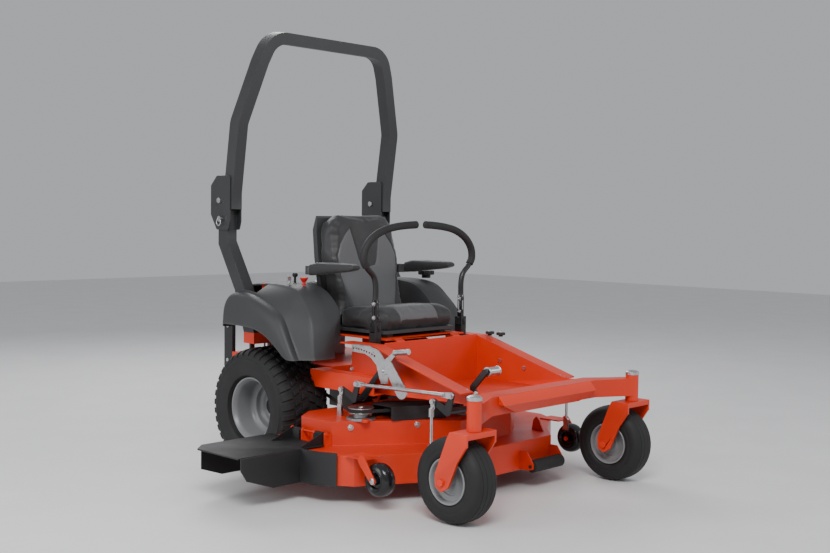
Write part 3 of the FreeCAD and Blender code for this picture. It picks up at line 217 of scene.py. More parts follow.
def rubber(name, colour, dust=(0.09, 0.085, 0.075), scale=420.0):
    """Tyre rubber: near black, matt, with faint dust in broad patches."""
    material, tree, shader = graph(name)
    patch = object_noise(tree, 7.0, 6, 0.6)
    fine = object_noise(tree, scale, 3)
    some = node(tree, "ShaderNodeMapRange")
    some.inputs["From Min"].default_value = 0.52
    some.inputs["From Max"].default_value = 0.8
    some.inputs["To Max"].default_value = 0.35
    tree.links.new(patch.outputs["Fac"], some.inputs["Value"])
    tree.links.new(blend_colour(tree, some.outputs["Result"], colour, dust), shader.inputs["Base Color"])
    tree.links.new(spread(tree, patch.outputs["Fac"], 0.62, 0.8), shader.inputs["Roughness"])
    bump(tree, shader, [(fine.outputs["Fac"], 0.18, 0.0006)])
    return material


def vinyl(name, colour, grain=0.4):
    """Seat vinyl: pebbled leather grain, painted shade in the grain's pits, and a soft sheen."""
    material, tree, shader = graph(name)
    place = node(tree, "ShaderNodeTexCoord")
    cells = node(tree, "ShaderNodeTexVoronoi", Scale=650.0)
    tree.links.new(place.outputs["Object"], cells.inputs["Vector"])
    drift = object_noise(tree, 14.0, 4)
    fine = object_noise(tree, 1500.0, 2)
    tint = ramp(tree, drift.outputs["Fac"], ((0.3, tuple(c * 0.86 for c in colour)), (0.7, colour)))
    # painted shade: darker colour at the centres of the grain's cells, which the bump makes into pits
    pit_shaded_grain = blend_colour(tree, cells.outputs["Distance"], tuple(c * 0.8 for c in colour), tint.outputs["Color"])
    tree.links.new(pit_shaded_grain, shader.inputs["Base Color"])
    tree.links.new(spread(tree, drift.outputs["Fac"], 0.46, 0.6), shader.inputs["Roughness"])
    shader.inputs["Sheen Weight"].default_value = 0.15
    bump(tree, shader, [(cells.outputs["Distance"], grain, 0.0005), (fine.outputs["Fac"], 0.15, 0.0002)])
    return material


def make_materials():
    paint("orange_coat", (0.66, 0.030, 0.0015), rough=(0.36, 0.48), coat=0.06)
    paint("black_coat", (0.009, 0.009, 0.010), rough=(0.36, 0.5), coat=0.1)
    paint("rops_coat", (0.026, 0.027, 0.028), rough=(0.38, 0.5), coat=0.08)
    paint("rim_coat", (0.20, 0.205, 0.21), rough=(0.34, 0.46), coat=0.1)
    plastic("grey_moulding", (0.036, 0.037, 0.039))
    plastic("black_moulding", (0.011, 0.011, 0.012))
    plastic("gloss_black", (0.010, 0.010, 0.011), rough=(0.14, 0.26), grain=0.04)
    plastic("red_moulding", (0.55, 0.01, 0.01), rough=(0.25, 0.35), grain=0.05)
    metal("zinc_plate", (0.66, 0.66, 0.67))
    metal("cast_alloy", (0.42, 0.42, 0.43), rough=(0.45, 0.62))
    metal("ground_steel", (0.5, 0.5, 0.51), brushed=0.15)
    rubber("tyre_rubber", (0.010, 0.010, 0.0105), dust=(0.03, 0.029, 0.027))
    rubber("roller_rubber", (0.012, 0.012, 0.012), dust=(0.03, 0.03, 0.03))
    rubber("foam", (0.014, 0.014, 0.015), dust=(0.02, 0.02, 0.02), scale=900.0)
    vinyl("seat_dark", (0.022, 0.0225, 0.024))
    vinyl("seat_light", (0.105, 0.107, 0.112))


SLOT_LOOK = {
    "orange": "orange_coat", "black_paint": "black_coat", "grey_rops": "rops_coat",
    "grey_plastic": "grey_moulding", "black_plastic": "black_moulding", "red_plastic": "red_moulding",
    "zinc": "zinc_plate", "rim_grey": "rim_coat", "tyre": "tyre_rubber", "rubber": "roller_rubber",
    "seat_vinyl": "seat_dark", "engine_metal": "cast_alloy", "blade_steel": "ground_steel",
}
NODE_SLOT = {s["node"]: s["material_slot"] for s in frame["record"]["subparts"]}
NODE_BODY = {n: body for body, names in frame["record"]["behaviour"]["bodies"].items() for n in names}


# ---- pieces ----
def piece(name, mesh_data, body, look, smooth_angle=0.6):
    """A finished object: in the scene, shaded, riding its body."""
    made = bpy.data.objects.new(name, mesh_data)
    bpy.context.scene.collection.objects.link(made)
    looks = look if isinstance(look, (list, tuple)) else [look]
    for one in looks:
        made.data.materials.append(MATERIALS[one])
    if smooth_angle and hasattr(made.data, "polygons"):
        made.data.shade_smooth()
        made.data.set_sharp_from_angle(angle=smooth_angle)
    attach(made, body)
    return made


def refined(node_name, bevel=0.0015, segments=2):
    """A CAD node's shape with its shared edges rounded, standing for the node."""
    mesh = NODES[node_name].data.copy()
    work = bmesh.new()
    work.from_mesh(mesh)
    bmesh.ops.remove_doubles(work, verts=work.verts, dist=0.00002)
    bmesh.ops.dissolve_limit(work, angle_limit=0.01, verts=work.verts, edges=work.edges)
    for face in work.faces:
        face.material_index = 0
    work.to_mesh(mesh)
    work.free()
    mesh.materials.clear()
    slot = NODE_SLOT[node_name]
    made = piece(node_name + "_v", mesh, NODE_BODY[node_name], SLOT_LOOK[slot])
    if bevel:
        rounder = made.modifiers.new("edges", "BEVEL")
        rounder.width = bevel
        rounder.segments = segments
        rounder.limit_method = "ANGLE"
        rounder.angle_limit = math.radians(32)
        rounder.harden_normals = True
        rounder.use_clamp_overlap = True
    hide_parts(node_name)
    return made


# ---- shape helpers (millimetres on the machine's axes in, frame metres out) ----
MM = 0.001
BOX_FACES = [(0, 1, 3, 2), (4, 6, 7, 5), (0, 4, 5, 1), (2, 3, 7, 6), (0, 2, 6, 4), (1, 5, 7, 3)]


def place_mm(x, y, z):
    return at(x * MM, y * MM, z * MM)


def mesh_from(name, verts, faces):
    mesh = bpy.data.meshes.new(name)
    mesh.from_pydata([tuple(v) for v in verts], [], faces)
    mesh.validate()
    return mesh


def weld(mesh, distance=0.00002):
    work = bmesh.new()
    work.from_mesh(mesh)
    bmesh.ops.remove_doubles(work, verts=work.verts, dist=distance)
    bmesh.ops.recalc_face_normals(work, faces=work.faces)
    work.to_mesh(mesh)
    work.free()


def smooth_line(points, steps=8):
    """Catmull-Rom through the points."""
    points = [Vector(p) for p in points]
    ends = [points[0] * 2 - points[1]] + points + [points[-1] * 2 - points[-2]]
    line = []
    for a, b, c, d in zip(ends, ends[1:], ends[2:], ends[3:]):
        for i in range(steps):
            t = i / steps
            line.append(0.5 * (2 * b + (c - a) * t + (2 * a - 5 * b + 4 * c - d) * t * t
                               + (3 * b - a - 3 * c + d) * t * t * t))
    return line + [points[-1]]


def turned(profile, centre, side=1, segments=96):
    """Verts and faces of a closed profile of (along, radius) turned about a line along X; side is 1 or -1."""
    verts = []
    faces = []
    count = len(profile)
    for i in range(segments):
        a = 2 * math.pi * i / segments
        for along, radius in profile:
            verts.append(place_mm(centre[0] + side * along, centre[1] + radius * math.cos(a),
                                  centre[2] + radius * math.sin(a)))
    for i in range(segments):
        j = (i + 1) % segments
        for k in range(count):
            n = (k + 1) % count
            faces.append((i * count + k, i * count + n, j * count + n, j * count + k))
    return verts, faces


def joined(parts):
    """Several (verts, faces) lists as one."""
    verts = []
    faces = []
    for more_verts, more_faces in parts:
        base = len(verts)
        verts += more_verts
        faces += [tuple(i + base for i in face) for face in more_faces]
    return verts, faces


def turned_piece(name, profile, centre, side, body, look, segments=96, angle=0.6, extra=()):
    mesh = mesh_from(name, *joined([turned(profile, centre, side, segments)] + list(extra)))
    weld(mesh)
    return piece(name, mesh, body, look, angle)


def disc_stack(centre, axis, rings, sides=6, spin=0.0):
    """A solid of rings (height, radius) along an axis, closed at both ends; six sides make a bolt head."""
    axis = Vector(axis).normalized()
    across = axis.orthogonal().normalized()
    other = axis.cross(across)
    verts = []
    faces = []
    for height, radius in rings:
        for i in range(sides):
            a = 2 * math.pi * i / sides + spin
            offset = (across * math.cos(a) + other * math.sin(a)) * radius + axis * height
            verts.append(place_mm(*(Vector(centre) + offset)))
    for k in range(len(rings) - 1):
        for i in range(sides):
            j = (i + 1) % sides
            faces.append((k * sides + i, k * sides + j, (k + 1) * sides + j, (k + 1) * sides + i))
    faces.append(tuple(reversed(range(sides))))
    faces.append(tuple(range((len(rings) - 1) * sides, len(rings) * sides)))
    return verts, faces


def bolt_parts(centre, axis, radius):
    """A washer, a chamfered hexagon head and the end of its screw."""
    r = radius
    washer = disc_stack(centre, axis, [(-1, r * 1.3), (r * 0.18, r * 1.3), (r * 0.24, r * 1.22)], 28)
    head = disc_stack(centre, axis, [(0, r), (r * 0.75, r), (r * 0.88, r * 0.86)], 6, 0.3)
    stub = disc_stack(centre, axis, [(0, r * 0.5), (r * 1.05, r * 0.5), (r * 1.15, r * 0.4)], 16)
    return [washer, head, stub]


def bolt_set(name, body, places, look="zinc_plate"):
    parts = []
    for centre, axis, radius in places:
        parts += bolt_parts(centre, axis, radius)
    return piece(name, mesh_from(name, *joined(parts)), body, look, 0.5)


def tube(name, points, radius, body, look, steps=8):
    """A round bar along smoothed points, with domed ends."""
    line = smooth_line([place_mm(*p) for p in points], steps)
    curve = bpy.data.curves.new(name, "CURVE")
    curve.dimensions = "3D"
    curve.bevel_depth = radius * MM
    curve.bevel_resolution = 6
    curve.use_fill_caps = True
    spline = curve.splines.new("POLY")
    spline.points.add(len(line) - 1)
    for point, where in zip(spline.points, line):
        point.co = (*where, 1)
    shape = bpy.data.objects.new(name + "_line", curve)
    mesh = bpy.data.meshes.new_from_object(shape)
    bpy.data.objects.remove(shape)
    mesh.materials.clear()
    mesh.name = name
    return piece(name, mesh, body, look, 0.7)


def bevelled(made, width, segments=3, angle=32):
    rounder = made.modifiers.new("edges", "BEVEL")
    rounder.width = width
    rounder.segments = segments
    rounder.limit_method = "ANGLE"
    rounder.angle_limit = math.radians(angle)
    rounder.harden_normals = True
    return made


# ---- wheels ----
SIDES = {"right": -1, "left": 1}
REAR_WHEEL = (430.0, 1311.0, 277.0)
CASTER_WHEEL = (529.0, 83.0, 165.0)
REAR_CARCASS = [(98.6, 133), (98.6, 146.6), (112, 149), (122, 152), (126, 153), (127.6, 157), (128.5, 160),
                (132, 172), (134, 186), (134.6, 203), (133.6, 218), (134.4, 220), (134.2, 224), (132, 226),
                (129, 236), (124, 246), (115, 255), (100, 261), (80, 265), (50, 267.5), (20, 268.5)]
CASTER_CARCASS = [(50.6, 82), (50.6, 91.6), (56, 93), (60, 97), (62, 104), (63.3, 116), (62.6, 118), (63.3, 120),
                  (62.8, 130), (61, 140), (57, 149), (50, 156), (42, 160.2), (36, 162.3), (35, 161.2), (33.6, 161.4),
                  (33, 163), (24, 164.2), (14, 164.9), (13, 163.6), (11.6, 163.6), (11, 165)]


def both_ways(half_profile):
    return [(-a, r) for a, r in half_profile] + [(a, r) for a, r in reversed(half_profile)]


def radius_on(profile, along):
    """The carcass radius at a distance from the middle plane."""
    rows = sorted((a, r) for a, r in profile if r > 225)
    for (a0, r0), (a1, r1) in zip(rows, rows[1:]):
        if a0 <= along <= a1:
            return r0 + (r1 - r0) * (along - a0) / (a1 - a0)
    return rows[0][1] if along < rows[0][0] else rows[-1][1]


def lug(centre, side, span, angle, width, skew, height=8.0):
    """One tread block that follows the carcass from span[0] to span[1] along the axle."""
    steps = 4
    verts = []
    faces = []
    sign = 1 if span[1] >= span[0] else -1
    for level, inset in ((-2.0, 0.0), (height - 1.2, 0.9), (height, 2.2)):
        for i in range(steps + 1):
            t = i / steps
            along = span[0] + (span[1] - span[0]) * t
            if i == 0:
                along += sign * inset
            if i == steps:
                along -= sign * inset
            base = radius_on(REAR_CARCASS, abs(along))
            slope = max(0.0, (abs(along) - 90) / 45)
            radius = min(REAR_WHEEL[2] - 0.05, base + level * (1 - 0.45 * slope))
            out = along + math.copysign(level * 0.55 * slope, along)
            for edge in (-1, 1):
                a = angle + skew * t + edge * (width / 2 - inset) / radius
                verts.append(place_mm(centre[0] + side * out, centre[1] + radius * math.cos(a),
                                      centre[2] + radius * math.sin(a)))
    ring = (steps + 1) * 2
    for level in range(2):
        low, high = level * ring, (level + 1) * ring
        for i in range(steps):
            for e in (0, 1):
                a, b = i * 2 + e, (i + 1) * 2 + e
                faces.append((low + a, low + b, high + b, high + a))
        for i in (0, steps):
            faces.append((low + i * 2, low + i * 2 + 1, high + i * 2 + 1, high + i * 2))
    top = 2 * ring
    for i in range(steps):
        faces.append((top + i * 2, top + i * 2 + 1, top + i * 2 + 3, top + i * 2 + 2))
    return verts, faces


def rear_tyre(name, sign):
    centre = (sign * REAR_WHEEL[0], REAR_WHEEL[1], REAR_WHEEL[2])
    made = turned_piece("rear_carcass_" + name, both_ways(REAR_CARCASS), centre, 1, "rear_wheel_" + name,
                        "tyre_rubber", 128)
    parts = []
    count = 38
    for i in range(count):
        a = 2 * math.pi * i / count
        step = 2 * math.pi / count
        for way in (-1, 1):
            parts.append(lug(centre, way, (6, 36), a + (way + 1) * step / 4, 24, 0.05))
            parts.append(lug(centre, way, (44, 74), a + step / 2 + (way + 1) * step / 4, 25, 0.05))
            parts.append(lug(centre, way, (84, 127), a + (way + 1) * step / 4, 26, 0.03))
    blocks = mesh_from("rear_lugs_" + name, *joined(parts))
    work = bmesh.new()
    work.from_mesh(blocks)
    bmesh.ops.recalc_face_normals(work, faces=work.faces)
    work.to_mesh(blocks)
    work.free()
    piece("rear_lugs_" + name, blocks, "rear_wheel_" + name, "tyre_rubber", 0.5)
    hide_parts("rear_tyre_" + name)


RIM_SKIN = [(107.5, 144.5), (109.6, 142), (109.2, 137), (105, 133.5), (99, 130), (92, 126), (84, 124.6), (58, 123.4),
            (26, 122.6), (16, 121), (9, 115), (5, 106), (2, 100), (-6, 97), (-14, 95.4), (-19, 91), (-22, 84),
            (-27, 77), (-33, 73), (-36, 66), (-37, 48)]
RIM_BACK = [(-42, 48), (-41, 70), (-33, 80), (-27, 92), (-22, 100), (-10, 103), (0, 110), (6, 122), (14, 126.4),
            (26, 127.6), (84, 129), (97, 132.2), (98.4, 143.8)]
RIM_INNER = [(4, 125.5), (-40, 126), (-84, 127), (-96, 130.5), (-107, 137), (-108, 142), (-106, 144.5), (-99, 144),
             (-98.4, 133), (-86, 130.4), (-40, 129.6), (4, 129)]


def rear_rim(name, sign):
    centre = (sign * REAR_WHEEL[0], REAR_WHEEL[1], REAR_WHEEL[2])
    body = "rear_wheel_" + name
    made = turned_piece("rear_dish_" + name, RIM_SKIN + RIM_BACK, centre, sign, body, "rim_coat", 128,
                        extra=[turned(RIM_INNER, centre, sign, 128)])
    hub_profile = [(-60, 0.5), (-60, 62), (-44, 62), (-43, 58), (-36, 46), (-26, 43), (-24, 41), (-10, 39),
                   (-7, 36), (-6, 20), (-4, 19), (-4, 0.5)]
    shaft = [(-60.5, 0.5), (-60.5, 19), (-304, 19), (-304, 0.5)]
    turned_piece("rear_hub_" + name, hub_profile, centre, sign, body, "black_coat", 64,
                 extra=[turned(shaft, centre, sign, 48)])
    places = []
    for i in range(5):
        a = math.radians(72 * i + 18)
        places.append(((centre[0] + sign * -37, centre[1] + 56 * math.cos(a), centre[2] + 56 * math.sin(a)),
                       (sign, 0, 0), 9.5))
    bolt_set("rear_nuts_" + name, body, places)
    valve_a = math.radians(205)
    stem = (centre[0] + sign * 30, centre[1] + 118 * math.cos(valve_a), centre[2] + 118 * math.sin(valve_a))
    valve = disc_stack(stem, (sign, 0, 0), [(-22, 6.5), (0, 6), (3, 4.5), (22, 4), (24, 3)], 20)
    piece("rear_valve_" + name, mesh_from("valve", *valve), body, "black_moulding", 0.5)
    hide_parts("rear_rim_" + name)


CASTER_SKIN = [(56.5, 89.6), (58, 87.4), (57, 83), (52, 79), (46, 77), (41, 75), (38, 70), (36, 60), (34.5, 57),
               (31, 55.5), (29.5, 50), (28.6, 40), (29, 34), (31, 31), (33, 28), (46, 26.5), (60, 25.5),
               (62, 24), (62, 10.2)]


def caster_wheel(name, sign):
    centre = (sign * CASTER_WHEEL[0], CASTER_WHEEL[1], CASTER_WHEEL[2])
    body = "caster_wheel_" + name
    made = turned_piece("caster_carcass_" + name, both_ways(CASTER_CARCASS), centre, 1, body,
                        "tyre_rubber", 112)
    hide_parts("caster_tyre_" + name)
    rim = turned_piece("caster_dish_" + name,
                       [(a, r) for a, r in CASTER_SKIN] + [(0, 10.2)] + [(-a, r) for a, r in reversed(CASTER_SKIN)]
                       + [(-50.2, 89.4), (-50.2, 82), (50.2, 82), (50.2, 89.4)],
                       centre, 1, body, "rim_coat", 96)
    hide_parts("caster_rim_" + name)


# ---- fenders ----
# Each rail runs from the rear face over the top and down the front, at one place across the fender.
FENDER_RAILS = (
    ((-292, 1478, 640), (-292, 1474, 815), (-292, 1455, 842), (-292, 1290, 848), (-292, 1130, 841), (-294, 1060, 806),
     (-298, 1000, 750), (-300, 972, 705), (-382, 938, 672), (-382, 928, 530)),
    ((-380, 1478, 640), (-380, 1475, 818), (-380, 1458, 845), (-380, 1290, 849), (-380, 1112, 844), (-384, 1030, 803),
     (-390, 972, 748), (-400, 945, 700), (-424, 926, 655), (-440, 920, 530)),
    ((-450, 1478, 640), (-450, 1473, 808), (-450, 1452, 834), (-450, 1290, 847), (-450, 1100, 835), (-460, 1048, 778),
     (-474, 1000, 728), (-482, 972, 690), (-492, 948, 630), (-500, 927, 530)),
    ((-458, 1478, 640), (-458, 1472, 800), (-460, 1448, 826), (-460, 1300, 838), (-461, 1112, 824), (-472, 1058, 768),
     (-484, 1010, 720), (-492, 982, 682), (-502, 957, 624), (-510, 936, 530)),
    ((-515, 1478, 640), (-515, 1468, 785), (-518, 1425, 820), (-524, 1300, 803), (-527, 1195, 768), (-530, 1100, 732),
     (-532, 1066, 692), (-535, 1040, 645), (-538, 1004, 585), (-540, 970, 530)),
    ((-520, 1478, 640), (-520, 1468, 780), (-524, 1428, 812), (-531, 1304, 796), (-534, 1199, 761), (-537, 1106, 725),
     (-539, 1073, 688), (-542, 1047, 641), (-545, 1010, 583), (-547, 977, 530)),
    ((-560, 1478, 640), (-560, 1466, 770), (-565, 1432, 806), (-570, 1303, 790), (-573, 1200, 757), (-575, 1104, 715),
     (-576, 1062, 672), (-577, 1036, 634), (-577, 1003, 580), (-577, 972, 530)),
    ((-578, 1477, 642), (-580, 1470, 730), (-583, 1446, 760), (-587, 1310, 742), (-590, 1215, 718), (-591, 1140, 682),
     (-591, 1095, 645), (-590, 1065, 612), (-588, 1030, 575), (-586, 995, 530)),
    ((-580, 1470, 650), (-582, 1462, 653), (-586, 1440, 655), (-590, 1320, 655), (-592, 1232, 651), (-592, 1160, 628),
     (-592, 1115, 602), (-590, 1082, 578), (-588, 1050, 552), (-586, 1022, 530)),
)
WALL_FOOT = 610
CREASED_RAILS = {1: 0.8, 3: 0.75, 4: 0.6, 5: 0.9, 6: 0.9}


def fender(name, sign):
    wall = tuple((x + 2 if x > -300 else x, y, min(z, WALL_FOOT)) for x, y, z in FENDER_RAILS[0])
    rails = (wall,) + FENDER_RAILS
    count = len(rails[0])
    verts = [place_mm(-sign * x, y, z) for rail in rails for x, y, z in rail]
    faces = []
    for i in range(len(rails) - 1):
        for j in range(count - 1):
            quad = (i * count + j, i * count + j + 1, (i + 1) * count + j + 1, (i + 1) * count + j)
            faces.append(quad if sign > 0 else tuple(reversed(quad)))
    mesh = mesh_from("fender_" + name, verts, faces)
    work = bmesh.new()
    work.from_mesh(mesh)
    work.verts.ensure_lookup_table()
    crease = work.edges.layers.float.new("crease_edge")
    for edge in work.edges:
        a, b = (v.index for v in edge.verts)
        if a // count == b // count:
            edge[crease] = CREASED_RAILS.get(a // count, 0.0)
        elif min(a % count, b % count) == 1 and a % count == b % count:
            edge[crease] = 0.35
    work.to_mesh(mesh)
    work.free()
    made = piece("fender_" + name, mesh, "chassis", "grey_moulding", 0.9)
    fine = made.modifiers.new("fine", "SUBSURF")
    fine.levels = 3
    fine.render_levels = 3
    skin = made.modifiers.new("skin", "SOLIDIFY")
    skin.thickness = 0.0045
    skin.offset = -1
    leg_x = sign * 487.0
    low = (leg_x - 33, 1302.0, 560.0)
    high = (leg_x + 33, 1520.0, 900.0)
    corners = [place_mm(x, y, z) for x in (low[0], high[0]) for y in (low[1], high[1]) for z in (low[2], high[2])]
    cutter_mesh = mesh_from("notch", corners, BOX_FACES)
    weld(cutter_mesh)
    cutter = bpy.data.objects.new("notch_" + name, cutter_mesh)
    bpy.context.scene.collection.objects.link(cutter)
    notch = made.modifiers.new("notch", "BOOLEAN")
    notch.object = cutter
    notch.solver = "EXACT"
    applied(made)
    bpy.data.objects.remove(cutter)
    made.data.shade_smooth()
    made.data.set_sharp_from_angle(angle=0.7)
    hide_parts(name + "_fender")



def applied(made):
    """Turns an object's modifiers into its mesh."""
    bpy.context.view_layer.update()
    graph_now = bpy.context.evaluated_depsgraph_get()
    mesh = bpy.data.meshes.new_from_object(made.evaluated_get(graph_now))
    made.modifiers.clear()
    made.data = mesh
    return made


# ---- padded seat parts ----
SIM_FRAMES = 20


def padded_form(node_name, shrink, voxel):
    """The CAD pad's shape a little smaller, with even facets, ready to be blown up."""
    mesh = NODES[node_name].data.copy()
    mesh.materials.clear()
    middle = centre_of(node_name)
    weld(mesh)
    for vertex in mesh.vertices:
        vertex.co = middle + (vertex.co - middle) * shrink
    made = bpy.data.objects.new("form", mesh)
    bpy.context.scene.collection.objects.link(made)
    grid = made.modifiers.new("grid", "REMESH")
    grid.mode = "VOXEL"
    grid.voxel_size = voxel
    applied(made)
    even = made.modifiers.new("even", "SMOOTH")
    even.iterations = 6
    even.factor = 0.5
    return applied(made)


def blown(form, pressure, cap):
    """Cloth under pressure from inside, each point held within cap of where it began."""
    start = [v.co.copy() for v in form.data.vertices]
    scene = bpy.context.scene
    cloth = form.modifiers.new("cloth", "CLOTH")
    cloth.settings.quality = 5
    cloth.settings.mass = 0.3
    cloth.settings.use_pressure = True
    cloth.settings.uniform_pressure_force = pressure
    cloth.settings.tension_stiffness = 20
    cloth.settings.compression_stiffness = 20
    cloth.settings.shear_stiffness = 10
    cloth.settings.bending_stiffness = 2
    cloth.settings.effector_weights.gravity = 0
    cloth.collision_settings.use_collision = False
    cloth.point_cache.frame_start = 1
    cloth.point_cache.frame_end = SIM_FRAMES
    for step in range(1, SIM_FRAMES + 1):
        scene.frame_set(step)
    applied(form)
    scene.frame_set(1)
    for vertex, where in zip(form.data.vertices, start):
        move = vertex.co - where
        if move.length > cap:
            vertex.co = where + move * (cap / move.length)
    calm = form.modifiers.new("calm", "SMOOTH")
    calm.iterations = 7
    calm.factor = 0.5
    return applied(form)


def table(rows, value):
    """Straight-line reading of (value, result) rows."""
    if value <= rows[0][0]:
        return rows[0][1]
    for (a0, b0), (a1, b1) in zip(rows, rows[1:]):
        if value <= a1:
            return b0 + (b1 - b0) * (value - a0) / (a1 - a0)
    return rows[-1][1]


BACK_LIGHT = ((0.665, 0.0), (0.69, 0.118), (0.72, 0.135), (0.80, 0.158), (0.90, 0.182), (0.97, 0.186), (1.02, 0.165),
              (1.07, 0.125), (1.10, 0.088), (1.112, 0.0))
BACK_DARK = ((0.915, 0.0), (0.925, 0.045), (0.95, 0.058), (1.0, 0.070), (1.05, 0.083), (1.10, 0.098), (1.12, 0.2))
SEAT_LIGHT = ((0.74, 0.118), (0.80, 0.122), (0.86, 0.128), (0.90, 0.118), (0.925, 0.085), (0.937, 0.0))


def back_seam(x, y, z):
    """Signed distance to the light panels of the seat back, positive inside them, and whether it's the front."""
    wide = table(BACK_LIGHT, z) - abs(x)
    strip = abs(x) - table(BACK_DARK, z)
    if z < BACK_DARK[0][0]:
        strip = max(strip, (BACK_DARK[0][0] - z))
    return min(wide, strip)


def seat_seam(x, y, z):
    return min(table(SEAT_LIGHT, y) - abs(x), y - 0.70)


def finish_pad(form, name, body, seam, facing, looks, groove=0.0035, width=0.005):
    """Subdivides the pad, sinks its seams and gives the inset panels their own cover."""
    fine = form.modifiers.new("fine", "SUBSURF")
    fine.levels = 1
    fine.render_levels = 1
    applied(form)
    mesh = form.data
    mesh.materials.clear()
    form.name = name
    mesh.name = name
    for look in looks:
        mesh.materials.append(MATERIALS[look])
    facing = Vector(facing)
    moves = []
    for vertex in mesh.vertices:
        here = vertex.co - ORIGIN
        amount = max(0.0, vertex.normal.dot(facing))
        distance = seam(*here) if seam else 1.0
        depth = groove * math.exp(-(distance / width) ** 2) * min(1.0, amount * 1.6)
        puff = 0.003 * min(1.0, max(0.0, distance) / 0.03) * amount if seam else 0.0
        moves.append(vertex.normal * (puff - depth))
    for vertex, move in zip(mesh.vertices, moves):
        vertex.co += move
    if seam:
        for face in mesh.polygons:
            here = face.center - ORIGIN
            inside = seam(*here) > 0 and face.normal.dot(facing) > 0.35
            face.material_index = 1 if inside else 0
    mesh.shade_smooth()
    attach(form, body)
    return form


def make_seat():
    cushion = blown(padded_form("seat_cushion", 0.965, 0.006), 4.0, 0.014)
    finish_pad(cushion, "cushion", "seat", seat_seam, (0, -0.35, 0.94), ("seat_dark", "seat_light"))
    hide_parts("seat_cushion")
    back = blown(padded_form("seat_back", 0.965, 0.006), 4.0, 0.014)
    finish_pad(back, "backrest", "seat", back_seam, (0, -0.97, 0.25), ("seat_dark", "seat_light"))
    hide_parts("seat_back")
    for name in SIDES:
        pad = blown(padded_form("armrest_" + name, 0.95, 0.005), 3.0, 0.006)
        finish_pad(pad, "arm_pad_" + name, "armrest_" + name, None, (0, 0, 1), ("seat_dark",))
        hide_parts("armrest_" + name)


# ---- control levers ----
LEVER_ROUTE = ((279, 706), (279, 790), (279, 850), (292, 892), (330, 928), (352, 962), (348, 1002), (322, 1040),
               (282, 1070), (226, 1093), (160, 1106), (90, 1113), (30, 1116))
GRIP_ROUTE = ((336, 934), (352, 962), (348, 1002), (322, 1040), (282, 1070), (226, 1093), (160, 1106), (90, 1113),
              (30, 1116))
LEVER_Y = 785.0
LEVER_X = 279.0
BAR_R = 12.5
FOAM_R = 17.0


def lever(name, sign):
    body = "lever_" + name
    bar_line = [(sign * x, LEVER_Y, z) for x, z in LEVER_ROUTE[1:]]
    grip_line = [(sign * x, LEVER_Y, z) for x, z in GRIP_ROUTE]
    tube("lever_bar_" + name, bar_line, BAR_R, body, "black_coat", 6)
    tube("lever_foam_" + name, grip_line, FOAM_R, body, "foam", 8)
    tongue = refined("control_lever_" + name, 0.0012)
    work = bmesh.new()
    work.from_mesh(tongue.data)
    high = place_mm(0, 0, 800).z
    gone = [v for v in work.verts if v.co.z > high]
    bmesh.ops.delete(work, geom=gone, context="VERTS")
    work.to_mesh(tongue.data)
    work.free()
    places = [((sign * (LEVER_X + way * 10), LEVER_Y, z), (way * sign, 0, 0), 7.5)
              for way in (-1, 1) for z in (712, 772)]
    bolt_set("lever_bolts_" + name, body, places)


# ---- frame, deck and linkage fittings ----
FRAME_BOLTS = ((309, 898, 480, 8), (309, 229, 460, 8), (309, 182, 455, 8))
DECK_BOLTS = ((-508, 690, 274, 10), (-279, 526, 281, 10))


BELT_BENDS = (0.95, 1.25)


def drive_belt():
    """The belt's shape, cut crosswise into slices between the two bend places."""
    mesh = NODES["deck_belt"].data.copy()
    mesh.materials.clear()
    work = bmesh.new()
    work.from_mesh(mesh)
    bmesh.ops.remove_doubles(work, verts=work.verts, dist=0.00002)
    cuts = 12
    for i in range(cuts + 1):
        y = BELT_BENDS[0] + (BELT_BENDS[1] - BELT_BENDS[0]) * i / cuts
        geometry = work.verts[:] + work.edges[:] + work.faces[:]
        bmesh.ops.bisect_plane(work, geom=geometry, plane_co=at(0, y, 0), plane_no=(0, 1, 0))
    for face in work.faces:
        face.material_index = 0
    work.to_mesh(mesh)
    work.free()
    made = bpy.data.objects.new("drive_belt", mesh)
    bpy.context.scene.collection.objects.link(made)
    mesh.materials.append(MATERIALS["roller_rubber"])
    mesh.shade_smooth()
    mesh.set_sharp_from_angle(angle=0.6)
    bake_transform(made)
    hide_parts("deck_belt")


GUSSET_X = 345.0
SCALP_WHEEL = (629.0, 392.0, 126.0)
SCALP_HALF = ((-34, 16), (-20, 18), (-20, 28), (-30, 32), (-34, 38), (-33.6, 41), (-32, 42), (-33.4, 44), (-31.6, 50),
              (-29, 55), (-25, 60), (-19, 64), (-11, 66.2), (-1.4, 66.9), (-0.7, 65.9))


def scalp_wheel(name, sign):
    """A rounded plastic wheel with grooves on its faces and a mould line, and its plated cap."""
    x, y, z = sign * SCALP_WHEEL[0], SCALP_WHEEL[1], SCALP_WHEEL[2]
    half = list(SCALP_HALF)
    profile = half + [(-a, r) for a, r in reversed(half)] + [(34, 6.6), (-34, 6.6)]
    made = turned_piece("scalp_" + name, profile, (x, y, z), 1, "scalp_wheel_" + name, "gloss_black",
                        80)
    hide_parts("anti_scalp_wheel_" + name)
    cap = disc_stack((x + sign * 35, y, z), (sign, 0, 0), [(0, 15), (2.5, 15), (3, 12.5), (10, 12.5), (11.5, 9)], 30)
    piece("scalp_cap_" + name, mesh_from("scalp_cap", *cap), "deck", "zinc_plate", 0.5)


def side_plate(outline, low, high):
    """A plate with an outline in Y and Z, between two places across the machine."""
    count = len(outline)
    verts = [place_mm(x, y, z) for x in (low, high) for y, z in outline]
    faces = [tuple(reversed(range(count))), tuple(range(count, 2 * count))]
    faces += [(i, (i + 1) % count, count + (i + 1) % count, count + i) for i in range(count)]
    return verts, faces


